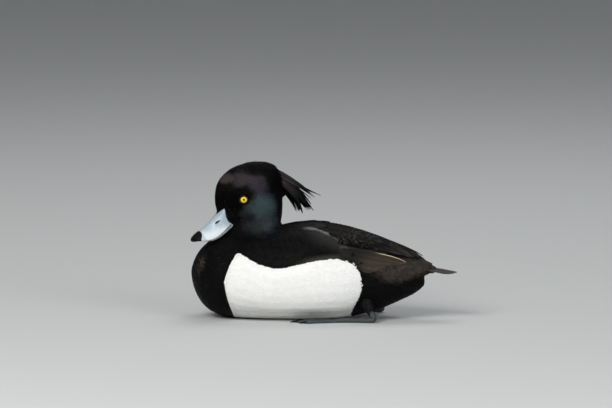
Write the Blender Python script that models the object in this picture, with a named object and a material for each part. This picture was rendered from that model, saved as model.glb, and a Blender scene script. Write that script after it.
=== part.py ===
# A drake tufted duck at rest as it floats, life size, made to sit on its belly with its feet tucked under.
# Every length below is in millimetres, and MM turns it into metres as a mesh is made.
# The bird looks towards -X, its left side is at -Y and +Z is up. The origin is on the floor under the belly.

import bisect
import math
import random

import bmesh
import bpy
from mathutils import Matrix, Vector

MM = 0.001
GAP = 0.3  # left between nodes that touch
SUNK = 1.6  # how far a raised piece starts under the surface that it is trimmed to
FAR = 400.0  # past everything, for blocks that cut a whole side away
SEED = 7

# Torso, from the breast to the rump: x, lowest, highest, half width, height of the widest line.
TORSO = [
    (-107.3, 45.0, 50.5, 4.0, 48.0),
    (-105.8, 37.0, 57.5, 15.0, 47.0),
    (-101.0, 24.0, 68.0, 28.0, 45.5),
    (-92.0, 11.0, 79.5, 40.5, 44.0),
    (-77.0, 2.0, 88.5, 51.5, 43.0),
    (-53.0, -2.0, 94.0, 60.0, 43.0),
    (-24.0, -3.0, 97.0, 64.0, 43.0),
    (6.0, -3.0, 102.8, 65.0, 43.5),
    (35.0, -2.0, 104.0, 63.0, 45.0),
    (61.0, 0.5, 99.6, 57.5, 47.0),
    (84.0, 5.5, 92.4, 49.0, 48.5),
    (104.0, 12.5, 85.0, 39.5, 50.0),
    (121.0, 20.0, 78.0, 30.5, 51.0),
    (135.0, 27.0, 71.5, 23.0, 52.0),
    (144.8, 34.5, 65.5, 17.5, 53.0),
]
TORSO_RINGS = 25
TORSO_SIDES = 28
BACK_ROUNDNESS = 2.1  # exponent of the section above the widest line
BELLY_ROUNDNESS = 2.35  # and below it
SLOPE_STEP = (1.0, 0.02)  # along x and round the section, over which the torso's slope is read

# Belly panel, cut out of the underside.
BELLY_CENTRE_X = 3.0
BELLY_HALF_LENGTH = 68.0
BELLY_TOP = 9.0
BELLY_SIDES = 48

# White side panel: the scalloped upper edge and the lower edge, as x and height.
FLANK_TOP = [
    (-65, 44), (-61, 57), (-56, 67.5), (-51, 73.3), (-45, 72), (-38, 68), (-25, 62.5), (-8, 59),
    (14, 63.3), (36, 67.5), (57, 69), (69, 66), (77, 60), (81.5, 51.5), (83, 44),
]
FLANK_LOW = [(-65, 41), (-63, 30), (-58, 17), (-50, 11), (62, 11), (73, 17), (80, 28), (83, 40)]
FLANK_THICK = 3.0
FLANK_GRID = (18, 7)  # columns along it, rows down it

# Shoulder feathers and folded wing: upper edge as distance from the midline, lower edge as height.
BACK_EDGE = [(-60, 42), (-40, 41), (-20, 35), (-6, 23), (10, 13), (45, 8), (90, 7), (138, 6)]
SIDE_EDGE_CLEARANCE = 1.6  # above the white panel's edge
WING_LOW = [(62, 69.9), (70, 67.2), (77, 62.5), (84, 56), (93, 52), (103, 53), (114, 56), (138, 59)]
TRACT_THICK = 2.2
TRACT_EDGE = 1.2
TRACT_SWELL = 2.2  # how fast a tract rises from its border to its full thickness
SHOULDER_GRID = (11, 13)
WING_GRID = (8, 13)
SHOULDER_FRONT_X = -54.0
SHOULDER_SWEEP = (14.0, 2.5)  # how far its front curves back at both edges, and how sharply
SHOULDER_LOBE = (24.0, 60.0)  # where the shoulder feathers end, at the back's edge and at the side's
LOBE_SCALLOPS = (4, 4.0)  # how many feather ends its outline shows, and how deep
LOBE_CLEARANCE = (0.6, 0.8)  # from the lobe's outline to the shoulder in front of it and to the wing behind
WING_END = (116.0, 98.0)
ROOM_HEIGHT = 12.0
ROOM_DEPTH = SUNK + 1.0
ROOM_GRID = (10, 13)
ROOM_FRONT_X = SHOULDER_FRONT_X - 4.0
SCAPULAR_ROWS = 5
SCAPULARS_PER_ROW = 4
SCAPULAR_PLACES = (0.65, 0.3)  # where a row's first feather sits in its share, in even and in odd rows
SCAPULAR_SPAN = (14.0, 24.0)  # first roots behind the front, last roots before the lobe's outline
SCAPULAR_LENGTH = 34.0
SCAPULAR_HALF_WIDTH = 10.0
SCAPULAR_HEADING = (0.05, 0.22)  # radians down the side, at the back's edge and at the side's
SCAPULAR_RISE = 0.35  # each row lies a little higher, and the last one this much
TERTIALS = 5
TERTIAL_ROOT = 4.0  # behind the lobe's outline
TERTIAL_LENGTH = (58.0, 36.0)
TERTIAL_HALF_WIDTH = 7.0
TERTIAL_HEADING = (0.0, 0.10)
TERTIAL_RISE = 0.25
PRIMARIES = 4
PRIMARY_PLACES = (0.45, 0.92)
PRIMARY_ROOT_X = 86.0
PRIMARY_LENGTH = (44.0, 30.8)
PRIMARY_HALF_WIDTH = 4.2
PRIMARY_HEADING = -0.06
WING_TIP_X = 137.0
FEATHER_STEP = 1.1  # how far a feather's tip stands above what it lies on
FEATHER_BASE = 0.15
FEATHER_CROWN = 0.3  # how far its shaft stands above its edges
FEATHER_ROOT_WIDTH = 0.62  # shares of the full width
FEATHER_TIP_WIDTH = 0.12
FEATHER_TAPER = 3.2

# Neck and head in one column: height, front, back, half width, how much the front narrows, turn in degrees.
# Front and back are measured from the axis on which the head turns.
HEAD_AXIS_X = -43.2
HEAD_TURN = 26.0
EYE_HEIGHT = 129.3
COLUMN = [
    (66.0, -50.0, 47.0, 43.0, 0.05, 0.0),
    (78.0, -46.0, 41.5, 37.5, 0.06, 2.0),
    (86.0, -37.0, 36.5, 32.0, 0.08, 6.0),
    (94.0, -28.5, 33.5, 27.0, 0.12, 12.0),
    (101.0, -27.0, 33.5, 23.8, 0.20, 18.0),
    (107.0, -31.0, 34.3, 23.2, 0.32, 23.0),
    (113.0, -36.6, 35.0, 23.6, 0.38, HEAD_TURN),
    (120.0, -39.8, 35.4, 23.4, 0.40, HEAD_TURN),
    (129.0, -40.8, 35.3, 22.4, 0.36, HEAD_TURN),
    (139.0, -40.0, 35.0, 21.2, 0.30, HEAD_TURN),
    (148.0, -36.6, 34.2, 19.4, 0.25, HEAD_TURN),
    (155.5, -30.0, 32.4, 16.8, 0.20, HEAD_TURN),
    (161.0, -22.0, 29.0, 13.4, 0.15, HEAD_TURN),
    (165.0, -12.0, 24.0, 9.2, 0.10, HEAD_TURN),
    (167.2, 0.0, 15.5, 3.6, 0.05, HEAD_TURN),
]
COLUMN_RINGS = 24
COLUMN_SIDES = 24
NECK_TOP = 103.0

# Eye and lids, in the head's own axes.
EYE_CENTRE = (-13.2, 15.9, -0.8)  # backwards, from the head's middle plane, and up
EYE_RADIUS = 5.2
LID_RADIUS = 6.0
LID_OPENING = 4.2
LID_REACH = 12.0  # how far out the opening is cut
EYE_RINGS = 8
EYE_SIDES = 14
LID_SIDES = 16

# Bill, in a frame that starts at the top of its base and runs down it: along, top, edge, half width, peak.
BILL_ROOT = (-37.4, -15.1)  # forward of the axis, and height above the eye
BILL_PITCH = 29.0
UPPER_BILL = [
    (-14.0, -6.4, 15.0, 10.4, 3.6),
    (-7.0, -4.4, 16.8, 11.4, 3.4),
    (1.0, -0.3, 18.2, 11.4, 2.6),
    (9.0, 2.5, 19.8, 10.8, 2.1),
    (17.0, 4.8, 20.5, 10.8, 2.0),
    (24.0, 6.2, 19.1, 11.6, 2.1),
    (30.0, 7.2, 16.6, 11.9, 2.2),
    (35.0, 8.2, 14.1, 10.2, 2.2),
    (38.3, 9.3, 13.0, 7.0, 2.2),
    (40.2, 10.6, 12.6, 3.0, 2.2),
]
LOWER_BILL = [
    (-12.0, 16.2, 20.6, 8.2, 2.0),
    (-4.0, 18.1, 21.9, 9.2, 2.0),
    (4.0, 19.7, 23.3, 9.2, 2.0),
    (12.0, 21.0, 24.1, 9.0, 2.0),
    (20.0, 20.7, 23.2, 8.8, 2.0),
    (26.0, 18.9, 20.5, 8.2, 2.0),
    (30.0, 16.9, 18.1, 6.4, 2.0),
    (32.5, 15.5, 16.5, 3.4, 2.0),
]
BILL_SIDES = 16
UPPER_BILL_RINGS = 17
LOWER_BILL_RINGS = 11
BILL_HOLLOW = 0.05  # how far the faces that meet are curved, as a share of the depth
NAIL_FROM = 29.5
NOSTRIL = (7.2, 9.2, 7.2)
NOSTRIL_SIZE = (2.8, 1.6, 0.95)  # half lengths along, across and down the bill
NOSTRIL_RINGS = 6
NOSTRIL_SIDES = 12

# Crest, in the head's own axes: height is above the eye.
CREST_CORE = [  # backwards, height, half depth, half width
    (14.0, 29.0, 8.0, 8.5),
    (24.0, 24.0, 9.3, 9.0),
    (34.0, 16.5, 9.2, 8.2),
    (42.0, 9.0, 8.0, 6.5),
    (49.5, 1.0, 5.5, 4.0),
]
CREST_GROUPS = [  # locks, then backwards and height of the root, of the bend and of the tip, then tip scatter
    (12, (24.0, 26.5), (53.0, 8.5), (68.5, -14.0), (4.0, 3.5)),
    (9, (30.0, 15.0), (49.5, 2.5), (56.0, -18.0), (2.6, 3.0)),
    (1, (30.0, 27.5), (51.0, 12.5), (79.0, -0.6), (0.0, 0.0)),
]
CREST_SIDES = 12
CREST_HALF_WIDTH = 6.5
LOCK_FACING = (0.25, 0.6)  # how much the outer locks' flat sides turn back and up
LOCK_SCATTER = (0.8, 1.2)  # shares of the tip's scatter that the root and the bend take
LOCK_BEND_SPREAD = 1.1
LOCK_TIP_SPREAD = (0.5, 1.2)
LOCK_SIZES = (0.8, 1.15)
LOCK_HALF_WIDTH = 2.4
LOCK_STATIONS = 5
LOCK_END = 0.97
LOCK_TAPER = (2.2, 0.8)
LOCK_THICK = 1.6
LOCK_TIP = 0.3

# Tail fan.
TAIL_FEATHERS = 12
TAIL_ROOT = (142.0, 57.5)
TAIL_DROP = 9.0  # degrees below level
TAIL_SPREAD = 18.0  # degrees to each side
TAIL_LENGTH = 38.0
TAIL_HALF_WIDTH = 5.0
TAIL_STEP = 0.3
TAIL_SHORTENING = 0.22  # of the outermost feathers
TAIL_ROOT_FORWARD = 3.0
TAIL_ROOT_SPREAD = 7.0
TAIL_LAP = 0.15  # every second feather lies this much lower
# the tail's flesh: behind the root, half width, half height
TAIL_CORE = [(0.0, 15.0, 7.5), (9.0, 14.0, 6.0), (18.0, 11.0, 3.2)]
TAIL_CORE_DROP = 1.5
TAIL_CORE_SIDES = 16
FREE_THICK = 0.8
FREE_STATIONS = 5
FREE_ROOT_WIDTH = 0.7
FREE_TIP_WIDTH = 0.2
FREE_TAPER = 4
FREE_CROWN = 0.35

# Legs and feet, folded under the flanks.
FOOT_Y = 48.0
FOOT_ROOT_X = 64.0
HEEL_X = 96.0
TARSUS_RADIUS = 2.9
TARSUS_HEIGHT = TARSUS_RADIUS - 0.25
LEG_RUN = [  # x, then inwards from the foot's line, height above the tarsus and radius
    (FOOT_ROOT_X + GAP, 0.0, 0.0, TARSUS_RADIUS),
    (FOOT_ROOT_X + 14.0, 0.0, 0.0, TARSUS_RADIUS),
    (HEEL_X - 6.0, 0.0, 0.0, TARSUS_RADIUS + 0.3),
    (HEEL_X, 0.0, 1.5, TARSUS_RADIUS + 1.0),
    (HEEL_X - 3.0, 2.0, 7.0, 4.2),
    (HEEL_X - 9.0, 10.0, 17.0, 5.5),
    (HEEL_X - 15.0, 18.0, 27.0, 7.0),
]
LEG_SIDES = 10
FOOT_STUB = (9.0, 0.4)  # how far the root runs forward, and how much thicker than the tarsus it is
TOES = [(-5.0, 44.0), (8.0, 48.0), (21.0, 40.0)]  # turn from straight ahead in degrees, length
TOE_START = 4.0  # in front of the root
TOE_RADIUS = 2.2
TOE_LIFT = 1.9
TOE_SWELL = [(0.0, 1.15), (0.3, 0.85), (0.36, 1.05), (0.62, 0.8), (0.68, 0.95), (1.0, 0.6)]  # shares
TOE_SIDES = 8
WEB_THICK = 1.2
WEB_LOW = 0.3
WEB_SPAN = (0.12, 0.96)  # shares of the toes that it joins
WEB_SAG = 0.16
WEB_GRID = 5
CLAW_LENGTH = 6.5
CLAW_RUN = [(-1.0, 1.15), (3.9, 0.8), (CLAW_LENGTH, 0.3)]  # from the toe's tip, radius
CLAW_TIP_HEIGHT = 0.6
CLAW_SIDES = 6

COLOURS = {  # colour, roughness
    "black_plumage": ((0.012, 0.012, 0.016), 0.6),
    "white_plumage": ((0.82, 0.81, 0.78), 0.8),
    "brown_plumage": ((0.05, 0.037, 0.027), 0.7),
    "bill_grey": ((0.42, 0.53, 0.62), 0.35),
    "nail_black": ((0.012, 0.012, 0.013), 0.4),
    "eye_yellow": ((0.9, 0.52, 0.02), 0.12),
    "foot_grey": ((0.14, 0.16, 0.17), 0.6),
}


def clear_scene():
    for obj in list(bpy.data.objects):
        bpy.data.objects.remove(obj)


def material(slot):
    made = bpy.data.materials.get(slot)
    if made is None:
        colour, roughness = COLOURS[slot]
        made = bpy.data.materials.new(slot)
        made.use_nodes = True
        shader = made.node_tree.nodes["Principled BSDF"]
        shader.inputs["Base Color"].default_value = (*colour, 1.0)
        shader.inputs["Roughness"].default_value = roughness
        shader.inputs["Metallic"].default_value = 0.0
    return made


def row_at(table, place):
    """A row between the table's rows, on a smooth curve through them."""
    i = min(int(place), len(table) - 2)
    t = place - i
    before, here, after, beyond = (table[min(max(i + k, 0), len(table) - 1)] for k in (-1, 0, 1, 2))
    return [
        0.5 * (2 * b + (c - a) * t + (2 * a - 5 * b + 4 * c - d) * t * t + (3 * b - a - 3 * c + d) * t**3)
        for a, b, c, d in zip(before, here, after, beyond)
    ]


def height_at(points, x):
    """The height at x of a smooth line through points, which never overshoots them."""
    i = min(max(bisect.bisect_right([p[0] for p in points], x) - 1, 0), len(points) - 2)
    slopes = [(b[1] - a[1]) / (b[0] - a[0]) for a, b in zip(points, points[1:])]

    def tangent(k):
        if k in (0, len(points) - 1):
            return slopes[0 if k == 0 else -1]
        before, after = slopes[k - 1], slopes[k]
        return 0.0 if before * after <= 0 else 2 * before * after / (before + after)

    (x0, y0), (x1, y1) = points[i], points[i + 1]
    t = min(max((x - x0) / (x1 - x0), 0.0), 1.0)
    rise = (x1 - x0) * (tangent(i) * t * (1 - t) ** 2 - tangent(i + 1) * t * t * (1 - t))
    return y0 + (y1 - y0) * t * t * (3 - 2 * t) + rise


def power(value, exponent):
    return math.copysign(abs(value) ** exponent, value)


def mix(a, b, share):
    return a + (b - a) * share


# Torso surface, read by every piece that lies on it.

TORSO_FINE = [row_at(TORSO, i / 24) for i in range(24 * (len(TORSO) - 1) + 1)]
TORSO_XS = [row[0] for row in TORSO_FINE]


def torso_section(x):
    i = min(max(bisect.bisect_right(TORSO_XS, x) - 1, 0), len(TORSO_FINE) - 2)
    low, high = TORSO_FINE[i], TORSO_FINE[i + 1]
    share = (x - low[0]) / (high[0] - low[0])
    return [mix(a, b, share) for a, b in zip(low, high)]


def section_point(section, angle, side):
    """A point of a section, where angle runs from 0 at the back's middle to pi at the belly's."""
    x, low, high, half_width, middle = section
    roundness = BACK_ROUNDNESS if angle < math.pi / 2 else BELLY_ROUNDNESS
    reach = high - middle if angle < math.pi / 2 else middle - low
    across = power(math.sin(angle), 2 / roundness) * half_width
    return Vector((x, side * across, middle + reach * power(math.cos(angle), 2 / roundness)))


def torso_point(x, angle, side, lift=0.0):
    section = torso_section(x)
    step_x, step_angle = SLOPE_STEP
    before, after = (section_point(torso_section(x + step), angle, side) for step in (-step_x, step_x))
    above, below = (section_point(section, angle + step, side) for step in (-step_angle, step_angle))
    outward = (after - before).cross(below - above).normalized() * side
    return section_point(section, angle, side) + outward * lift


def angle_at_height(x, z):
    _, low, high, _, middle = torso_section(x)
    if z >= middle:
        return math.acos(min(1.0, ((z - middle) / (high - middle))) ** (BACK_ROUNDNESS / 2))
    return math.pi - math.acos(min(1.0, ((middle - z) / (middle - low))) ** (BELLY_ROUNDNESS / 2))


def angle_at_width(x, y):
    return math.asin(min(1.0, y / torso_section(x)[3]) ** (BACK_ROUNDNESS / 2))


# Mesh makers.


def make_object(name, points, faces):
    mesh = bpy.data.meshes.new(name)
    mesh.from_pydata([Vector(p) * MM for p in points], [], faces)
    work = bmesh.new()
    work.from_mesh(mesh)
    bmesh.ops.recalc_face_normals(work, faces=work.faces)
    work.to_mesh(mesh)
    work.free()
    obj = bpy.data.objects.new(name, mesh)
    bpy.context.scene.collection.objects.link(obj)
    return obj


def loft(name, rings):
    """A closed solid through rings of equal count, its two ends closed by fans."""
    count = len(rings[0])
    points = [p for ring in rings for p in ring]
    faces = []
    for i in range(len(rings) - 1):
        for j in range(count):
            a, b = i * count + j, i * count + (j + 1) % count
            faces += [(a, b, b + count), (a, b + count, a + count)]
    for ring, start in ((rings[0], 0), (rings[-1], (len(rings) - 1) * count)):
        centre = len(points)
        points.append(sum((Vector(p) for p in ring), Vector()) / count)
        faces += [(start + j, start + (j + 1) % count, centre) for j in range(count)]
    return make_object(name, points, faces)


def plate(name, top, bottom):
    """A closed solid between two grids of points, cut into triangles alike on both faces."""
    rows, columns = len(top), len(top[0])
    points = [p for grid in (top, bottom) for row in grid for p in row]
    under = rows * columns
    faces = []
    for i in range(rows - 1):
        for j in range(columns - 1):
            a = i * columns + j
            b, c, d = a + 1, a + columns + 1, a + columns
            faces += [(a, b, c), (a, c, d)]
            faces += [(under + a, under + c, under + b), (under + a, under + d, under + c)]
    border = [j for j in range(columns)]
    border += [i * columns + columns - 1 for i in range(1, rows)]
    border += [(rows - 1) * columns + j for j in range(columns - 2, -1, -1)]
    border += [i * columns for i in range(rows - 2, 0, -1)]
    for a, b in zip(border, border[1:] + border[:1]):
        faces += [(a, under + a, under + b), (a, under + b, b)]
    return make_object(name, points, faces)


def block(name, low, high, matrix=None):
    spans = list(zip(low, high))
    corners = [Vector((x, y, z)) for x in spans[0] for y in spans[1] for z in spans[2]]
    faces = [(0, 1, 3, 2), (4, 6, 7, 5), (0, 4, 5, 1), (2, 3, 7, 6), (0, 2, 6, 4), (1, 5, 7, 3)]
    return make_object(name, [matrix @ c for c in corners] if matrix else corners, faces)


def ball(name, centre, radii, rings, sides, matrix=None):
    """An ellipsoid as a loft, turned by matrix about its centre."""
    turn = matrix or Matrix.Identity(3)
    found = []
    for i in range(rings):
        slope = math.pi * (i + 0.5) / rings
        found.append(
            [
                Vector(centre)
                + turn
                @ Vector(
                    (
                        radii[0] * math.sin(slope) * math.cos(2 * math.pi * j / sides),
                        radii[1] * math.cos(slope),
                        radii[2] * math.sin(slope) * math.sin(2 * math.pi * j / sides),
                    )
                )
                for j in range(sides)
            ]
        )
    return loft(name, found)


def tube(name, points, radii, sides, floor=None):
    """A round bar through points. A floor flattens what would pass below it."""
    rings = []
    for i, point in enumerate(points):
        ahead = Vector(points[min(i + 1, len(points) - 1)]) - Vector(points[max(i - 1, 0)])
        across = ahead.cross(Vector((0, 0, 1))).normalized()
        up = across.cross(ahead).normalized()
        ring = []
        for j in range(sides):
            turn = 2 * math.pi * (j + 0.5) / sides
            spot = Vector(point) + (across * math.cos(turn) + up * math.sin(turn)) * radii[i]
            if floor is not None:
                spot.z = max(spot.z, floor)
            ring.append(spot)
        rings.append(ring)
    return loft(name, rings)


# Booleans.


def apply_boolean(obj, operation, other=None, collection=None):
    modifier = obj.modifiers.new(operation, "BOOLEAN")
    modifier.operation = operation
    modifier.solver = "MANIFOLD"  # the exact solver took minutes on the unions of many feathers
    if collection:
        modifier.operand_type = "COLLECTION"
        modifier.collection = collection
    else:
        modifier.object = other
    bpy.context.view_layer.update()
    graph = bpy.context.evaluated_depsgraph_get()
    joined = bpy.data.meshes.new_from_object(obj.evaluated_get(graph))
    obj.modifiers.clear()
    obj.data = joined


def keep_largest(obj):
    """Leaves only the largest closed surface, so no sealed hollow or loose scrap stays."""
    work = bmesh.new()
    work.from_mesh(obj.data)
    left, shells = set(work.faces), []
    while left:
        shell, edge = set(), [left.pop()]
        while edge:
            face = edge.pop()
            shell.add(face)
            for other in (f for e in face.edges for f in e.link_faces if f in left):
                left.discard(other)
                edge.append(other)
        shells.append(shell)
    largest = max(shells, key=lambda shell: sum(f.calc_area() for f in shell))
    bmesh.ops.delete(work, geom=[f for f in work.faces if f not in largest], context="FACES")
    work.to_mesh(obj.data)
    work.free()


def fuse(name, pieces):
    """Joins closed pieces into one node."""
    body, others = pieces[0], pieces[1:]
    body.name = name
    if others:
        group = bpy.data.collections.new(name + "_pieces")
        for piece in others:
            group.objects.link(piece)
        apply_boolean(body, "UNION", collection=group)
        for piece in others:
            bpy.data.objects.remove(piece)
        bpy.data.collections.remove(group)
    keep_largest(body)
    return body


def cut(obj, cutter):
    apply_boolean(obj, "DIFFERENCE", other=cutter)
    bpy.data.objects.remove(cutter)
    return obj


def trim_to(obj, cutter):
    apply_boolean(obj, "INTERSECT", other=cutter)
    bpy.data.objects.remove(cutter)
    return obj


def copy_of(obj, name):
    made = bpy.data.objects.new(name, obj.data.copy())
    bpy.context.scene.collection.objects.link(made)
    return made


def finish(obj, slot, sharp_degrees=40.0):
    keep_largest(obj)
    obj.data.materials.clear()
    obj.data.materials.append(material(slot))
    obj.data.shade_smooth()
    obj.data.set_sharp_from_angle(angle=math.radians(sharp_degrees))


# Torso, belly and flanks.


def torso_mesh(name, grow=0.0):
    rings = []
    for i in range(TORSO_RINGS):
        place = (len(TORSO) - 1) * i / (TORSO_RINGS - 1)
        x = row_at(TORSO, place)[0]
        ring = []
        for j in range(TORSO_SIDES):
            turn = 2 * math.pi * j / TORSO_SIDES
            angle, side = (turn, -1) if turn <= math.pi else (2 * math.pi - turn, 1)
            spot = torso_point(x, angle, side, grow)
            if not grow:
                spot.z = max(spot.z, 0.0)
            ring.append(spot)
        rings.append(ring)
    if grow:
        rings[0] = [p - Vector((grow, 0, 0)) for p in rings[0]]
        rings[-1] = [p + Vector((grow, 0, 0)) for p in rings[-1]]
    return loft(name, rings)


def belly_cutter(grow):
    turns = [2 * math.pi * j / BELLY_SIDES for j in range(BELLY_SIDES)]
    half_length = BELLY_HALF_LENGTH + grow
    half_width = 1.5 * max(row[3] for row in TORSO)  # wider than the torso, so that only its ends curve
    rings = [
        [Vector((BELLY_CENTRE_X + half_length * math.cos(t), half_width * math.sin(t), z)) for t in turns]
        for z in (-BELLY_TOP, BELLY_TOP + grow)
    ]
    return loft("belly_cutter", rings)


def make_torso_and_belly():
    torso = torso_mesh("torso")
    belly = trim_to(copy_of(torso, "belly"), belly_cutter(-GAP / 2))
    cut(torso, belly_cutter(GAP / 2))
    finish(torso, "black_plumage")
    finish(belly, "white_plumage")


def tract(name, side, region, thick, grid):
    """A raised patch of plumage. region(along, down) gives x and the section angle, both from shares."""
    columns, rows = grid
    top, bottom = [], []
    for i in range(columns):
        along = 0.5 - 0.5 * math.cos(math.pi * i / (columns - 1))
        line = [region(along, j / (rows - 1)) for j in range(rows)]
        steepness = TRACT_SWELL * math.sin(math.pi * along)
        swell = [min(1.0, steepness * math.sin(math.pi * j / (rows - 1))) for j in range(rows)]
        top.append(
            [torso_point(x, angle, side, mix(TRACT_EDGE, thick, s)) for (x, angle), s in zip(line, swell)]
        )
        bottom.append([torso_point(x, angle, side, -SUNK) for x, angle in line])
    return plate(name, top, bottom)


def flank_region(along, down):
    x = mix(FLANK_TOP[0][0], FLANK_TOP[-1][0], along)
    high = angle_at_height(x, height_at(FLANK_TOP, x))
    low = angle_at_height(x, height_at(FLANK_LOW, x))
    return x, mix(high, low, down)


def make_flank(name, side):
    flank = tract(name, side, flank_region, FLANK_THICK, FLANK_GRID)
    cut(flank, torso_mesh("torso_space", GAP))
    finish(flank, "white_plumage")


# Shoulder feathers and folded wings.


def side_edge(x):
    """Height of the lower edge of the shoulder feathers and of the wing behind them."""
    if x < WING_LOW[0][0]:
        return height_at(FLANK_TOP, x) + SIDE_EDGE_CLEARANCE
    return height_at(WING_LOW, x)


def tract_angle(x, down):
    high = angle_at_width(x, height_at(BACK_EDGE, x))
    return mix(high, angle_at_height(x, side_edge(x)), down)


def lobe(down):
    scallops, depth = LOBE_SCALLOPS
    return mix(*SHOULDER_LOBE, down) + depth * (abs(math.sin(math.pi * scallops * down)) - 0.5)


def shoulder_region(along, down):
    sweep, sharpness = SHOULDER_SWEEP
    front = SHOULDER_FRONT_X + sweep * abs(2 * down - 1) ** sharpness
    x = mix(front, lobe(down) - LOBE_CLEARANCE[0], along)
    return x, tract_angle(x, down)


def wing_region(along, down):
    x = mix(lobe(down) + LOBE_CLEARANCE[1], mix(*WING_END, down), along)
    return x, tract_angle(x, down)


def trim_to_room(obj, side, from_x, to_x):
    """Keeps what stands over one tract, so that its feathers stay clear of the tracts beside it."""
    columns, rows = ROOM_GRID
    top, bottom = [], []
    for i in range(columns):
        lines = []
        for j in range(rows):
            down = j / (rows - 1)
            x = mix(from_x(down), to_x(down), i / (columns - 1))
            lines.append((x, tract_angle(x, down)))
        top.append([torso_point(x, angle, side, ROOM_HEIGHT) for x, angle in lines])
        bottom.append([torso_point(x, angle, side, -ROOM_DEPTH) for x, angle in lines])
    return trim_to(obj, plate("room", top, bottom))


def feather_half_width(widest, share):
    swell = math.sin(math.pi * min(1.0, share + 0.25))
    return widest * max(FEATHER_TIP_WIDTH, 1 - share**FEATHER_TAPER) * mix(FEATHER_ROOT_WIDTH, 1.0, swell)


def surface_feather(side, x, angle, heading, length, half_width, stations=5, base=0.0):
    """A feather that lies on the torso. heading is in radians from straight back, down the side."""
    turn = SLOPE_STEP[1]
    round_step = (torso_point(x, angle + turn, side) - torso_point(x, angle, side)).length / turn
    top, bottom = [], []
    for i in range(stations):
        share = i / (stations - 1)
        reach = length * share
        half = feather_half_width(half_width, share)
        lift = TRACT_THICK + base + FEATHER_BASE + FEATHER_STEP * share
        top_row, bottom_row = [], []
        for across in (-half, 0.0, half):
            spot_x = x + reach * math.cos(heading) - across * math.sin(heading)
            spot_angle = angle + (reach * math.sin(heading) + across * math.cos(heading)) / round_step
            crown = FEATHER_CROWN if across == 0.0 else 0.0
            top_row.append(torso_point(spot_x, spot_angle, side, lift + crown))
            bottom_row.append(torso_point(spot_x, spot_angle, side, -SUNK))
        top.append(top_row)
        bottom.append(bottom_row)
    return plate("feather", top, bottom)


def make_shoulder(name, side):
    pieces = [tract(name, side, shoulder_region, TRACT_THICK, SHOULDER_GRID)]
    for row in range(SCAPULAR_ROWS):
        share = row / (SCAPULAR_ROWS - 1)
        for k in range(SCAPULARS_PER_ROW):
            down = (k + SCAPULAR_PLACES[row % 2]) / SCAPULARS_PER_ROW
            x = mix(SHOULDER_FRONT_X + SCAPULAR_SPAN[0], lobe(down) - SCAPULAR_SPAN[1], share)
            angle, heading = tract_angle(x, down), mix(*SCAPULAR_HEADING, down)
            size = (SCAPULAR_LENGTH, SCAPULAR_HALF_WIDTH)
            rise = SCAPULAR_RISE * share
            pieces.append(surface_feather(side, x, angle, heading, *size, stations=4, base=rise))
    shoulder = fuse(name, pieces)
    trim_to_room(shoulder, side, lambda down: ROOM_FRONT_X, lambda down: lobe(down) - GAP / 2)
    cut(shoulder, torso_mesh("torso_space", GAP))
    finish(shoulder, "black_plumage")


def make_wing(name, side):
    pieces = [tract(name, side, wing_region, TRACT_THICK, WING_GRID)]
    for k in range(TERTIALS):
        down = (k + 0.4) / TERTIALS
        x = lobe(down) + TERTIAL_ROOT
        angle, heading = tract_angle(x, down), mix(*TERTIAL_HEADING, down)
        size = (mix(*TERTIAL_LENGTH, down), TERTIAL_HALF_WIDTH)
        pieces.append(surface_feather(side, x, angle, heading, *size, base=TERTIAL_RISE * (TERTIALS - 1 - k)))
    for k in range(PRIMARIES):
        share = k / (PRIMARIES - 1)
        angle = tract_angle(PRIMARY_ROOT_X, mix(*PRIMARY_PLACES, share))
        size = (mix(*PRIMARY_LENGTH, share), PRIMARY_HALF_WIDTH)
        pieces.append(surface_feather(side, PRIMARY_ROOT_X, angle, PRIMARY_HEADING, *size))
    wing = fuse(name, pieces)
    trim_to_room(wing, side, lambda down: lobe(down) + GAP / 2, lambda down: WING_TIP_X)
    cut(wing, torso_mesh("torso_space", GAP))
    finish(wing, "brown_plumage")


# Neck, head and crest.


def head_matrix(turn_degrees=HEAD_TURN):
    """From the head's own axes, with heights above the eye, to the model's."""
    turned = Matrix.Rotation(math.radians(turn_degrees), 4, "Z")
    return Matrix.Translation((HEAD_AXIS_X, 0, EYE_HEIGHT)) @ turned


def column_ring(row, sides, grow=0.0):
    z, front, back, half_width, narrowing, turn_degrees = row
    middle, reach = (front + back) / 2, (back - front) / 2 + grow
    matrix = head_matrix(turn_degrees)
    ring = []
    for j in range(sides):
        turn = 2 * math.pi * j / sides
        width = (half_width + grow) * (1 - narrowing * math.cos(turn))
        ring.append(
            matrix @ Vector((middle - reach * math.cos(turn), width * math.sin(turn), z - EYE_HEIGHT))
        )
    return ring


def column_mesh(name, grow=0.0):
    rings = []
    for i in range(COLUMN_RINGS):
        row = row_at(COLUMN, (len(COLUMN) - 1) * i / (COLUMN_RINGS - 1))
        if i == COLUMN_RINGS - 1:
            row[0] += grow
        rings.append(column_ring(row, COLUMN_SIDES, grow))
    return loft(name, rings)


def make_neck_and_head():
    column = column_mesh("column")
    head = cut(copy_of(column, "head"), block("below", (-FAR, -FAR, -FAR), (FAR, FAR, NECK_TOP + GAP / 2)))
    neck = cut(column, block("above", (-FAR, -FAR, NECK_TOP - GAP / 2), (FAR, FAR, FAR)))
    neck.name = "neck"
    cut(neck, torso_mesh("torso_space", GAP))
    finish(neck, "black_plumage")
    lids = [ball("lid", eye_centre(side), (LID_RADIUS,) * 3, EYE_RINGS, LID_SIDES) for side in (-1, 1)]
    head = fuse("head", [head, *lids])
    for side in (-1, 1):
        cut(head, ball("socket", eye_centre(side), (EYE_RADIUS + GAP,) * 3, EYE_RINGS, EYE_SIDES))
        rim = eye_centre(side) + head_matrix().to_3x3() @ Vector((0, side * LID_REACH, 0))
        cut(head, tube("opening", [eye_centre(side), rim], [LID_OPENING, LID_OPENING], LID_SIDES))
    finish(head, "black_plumage")


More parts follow.
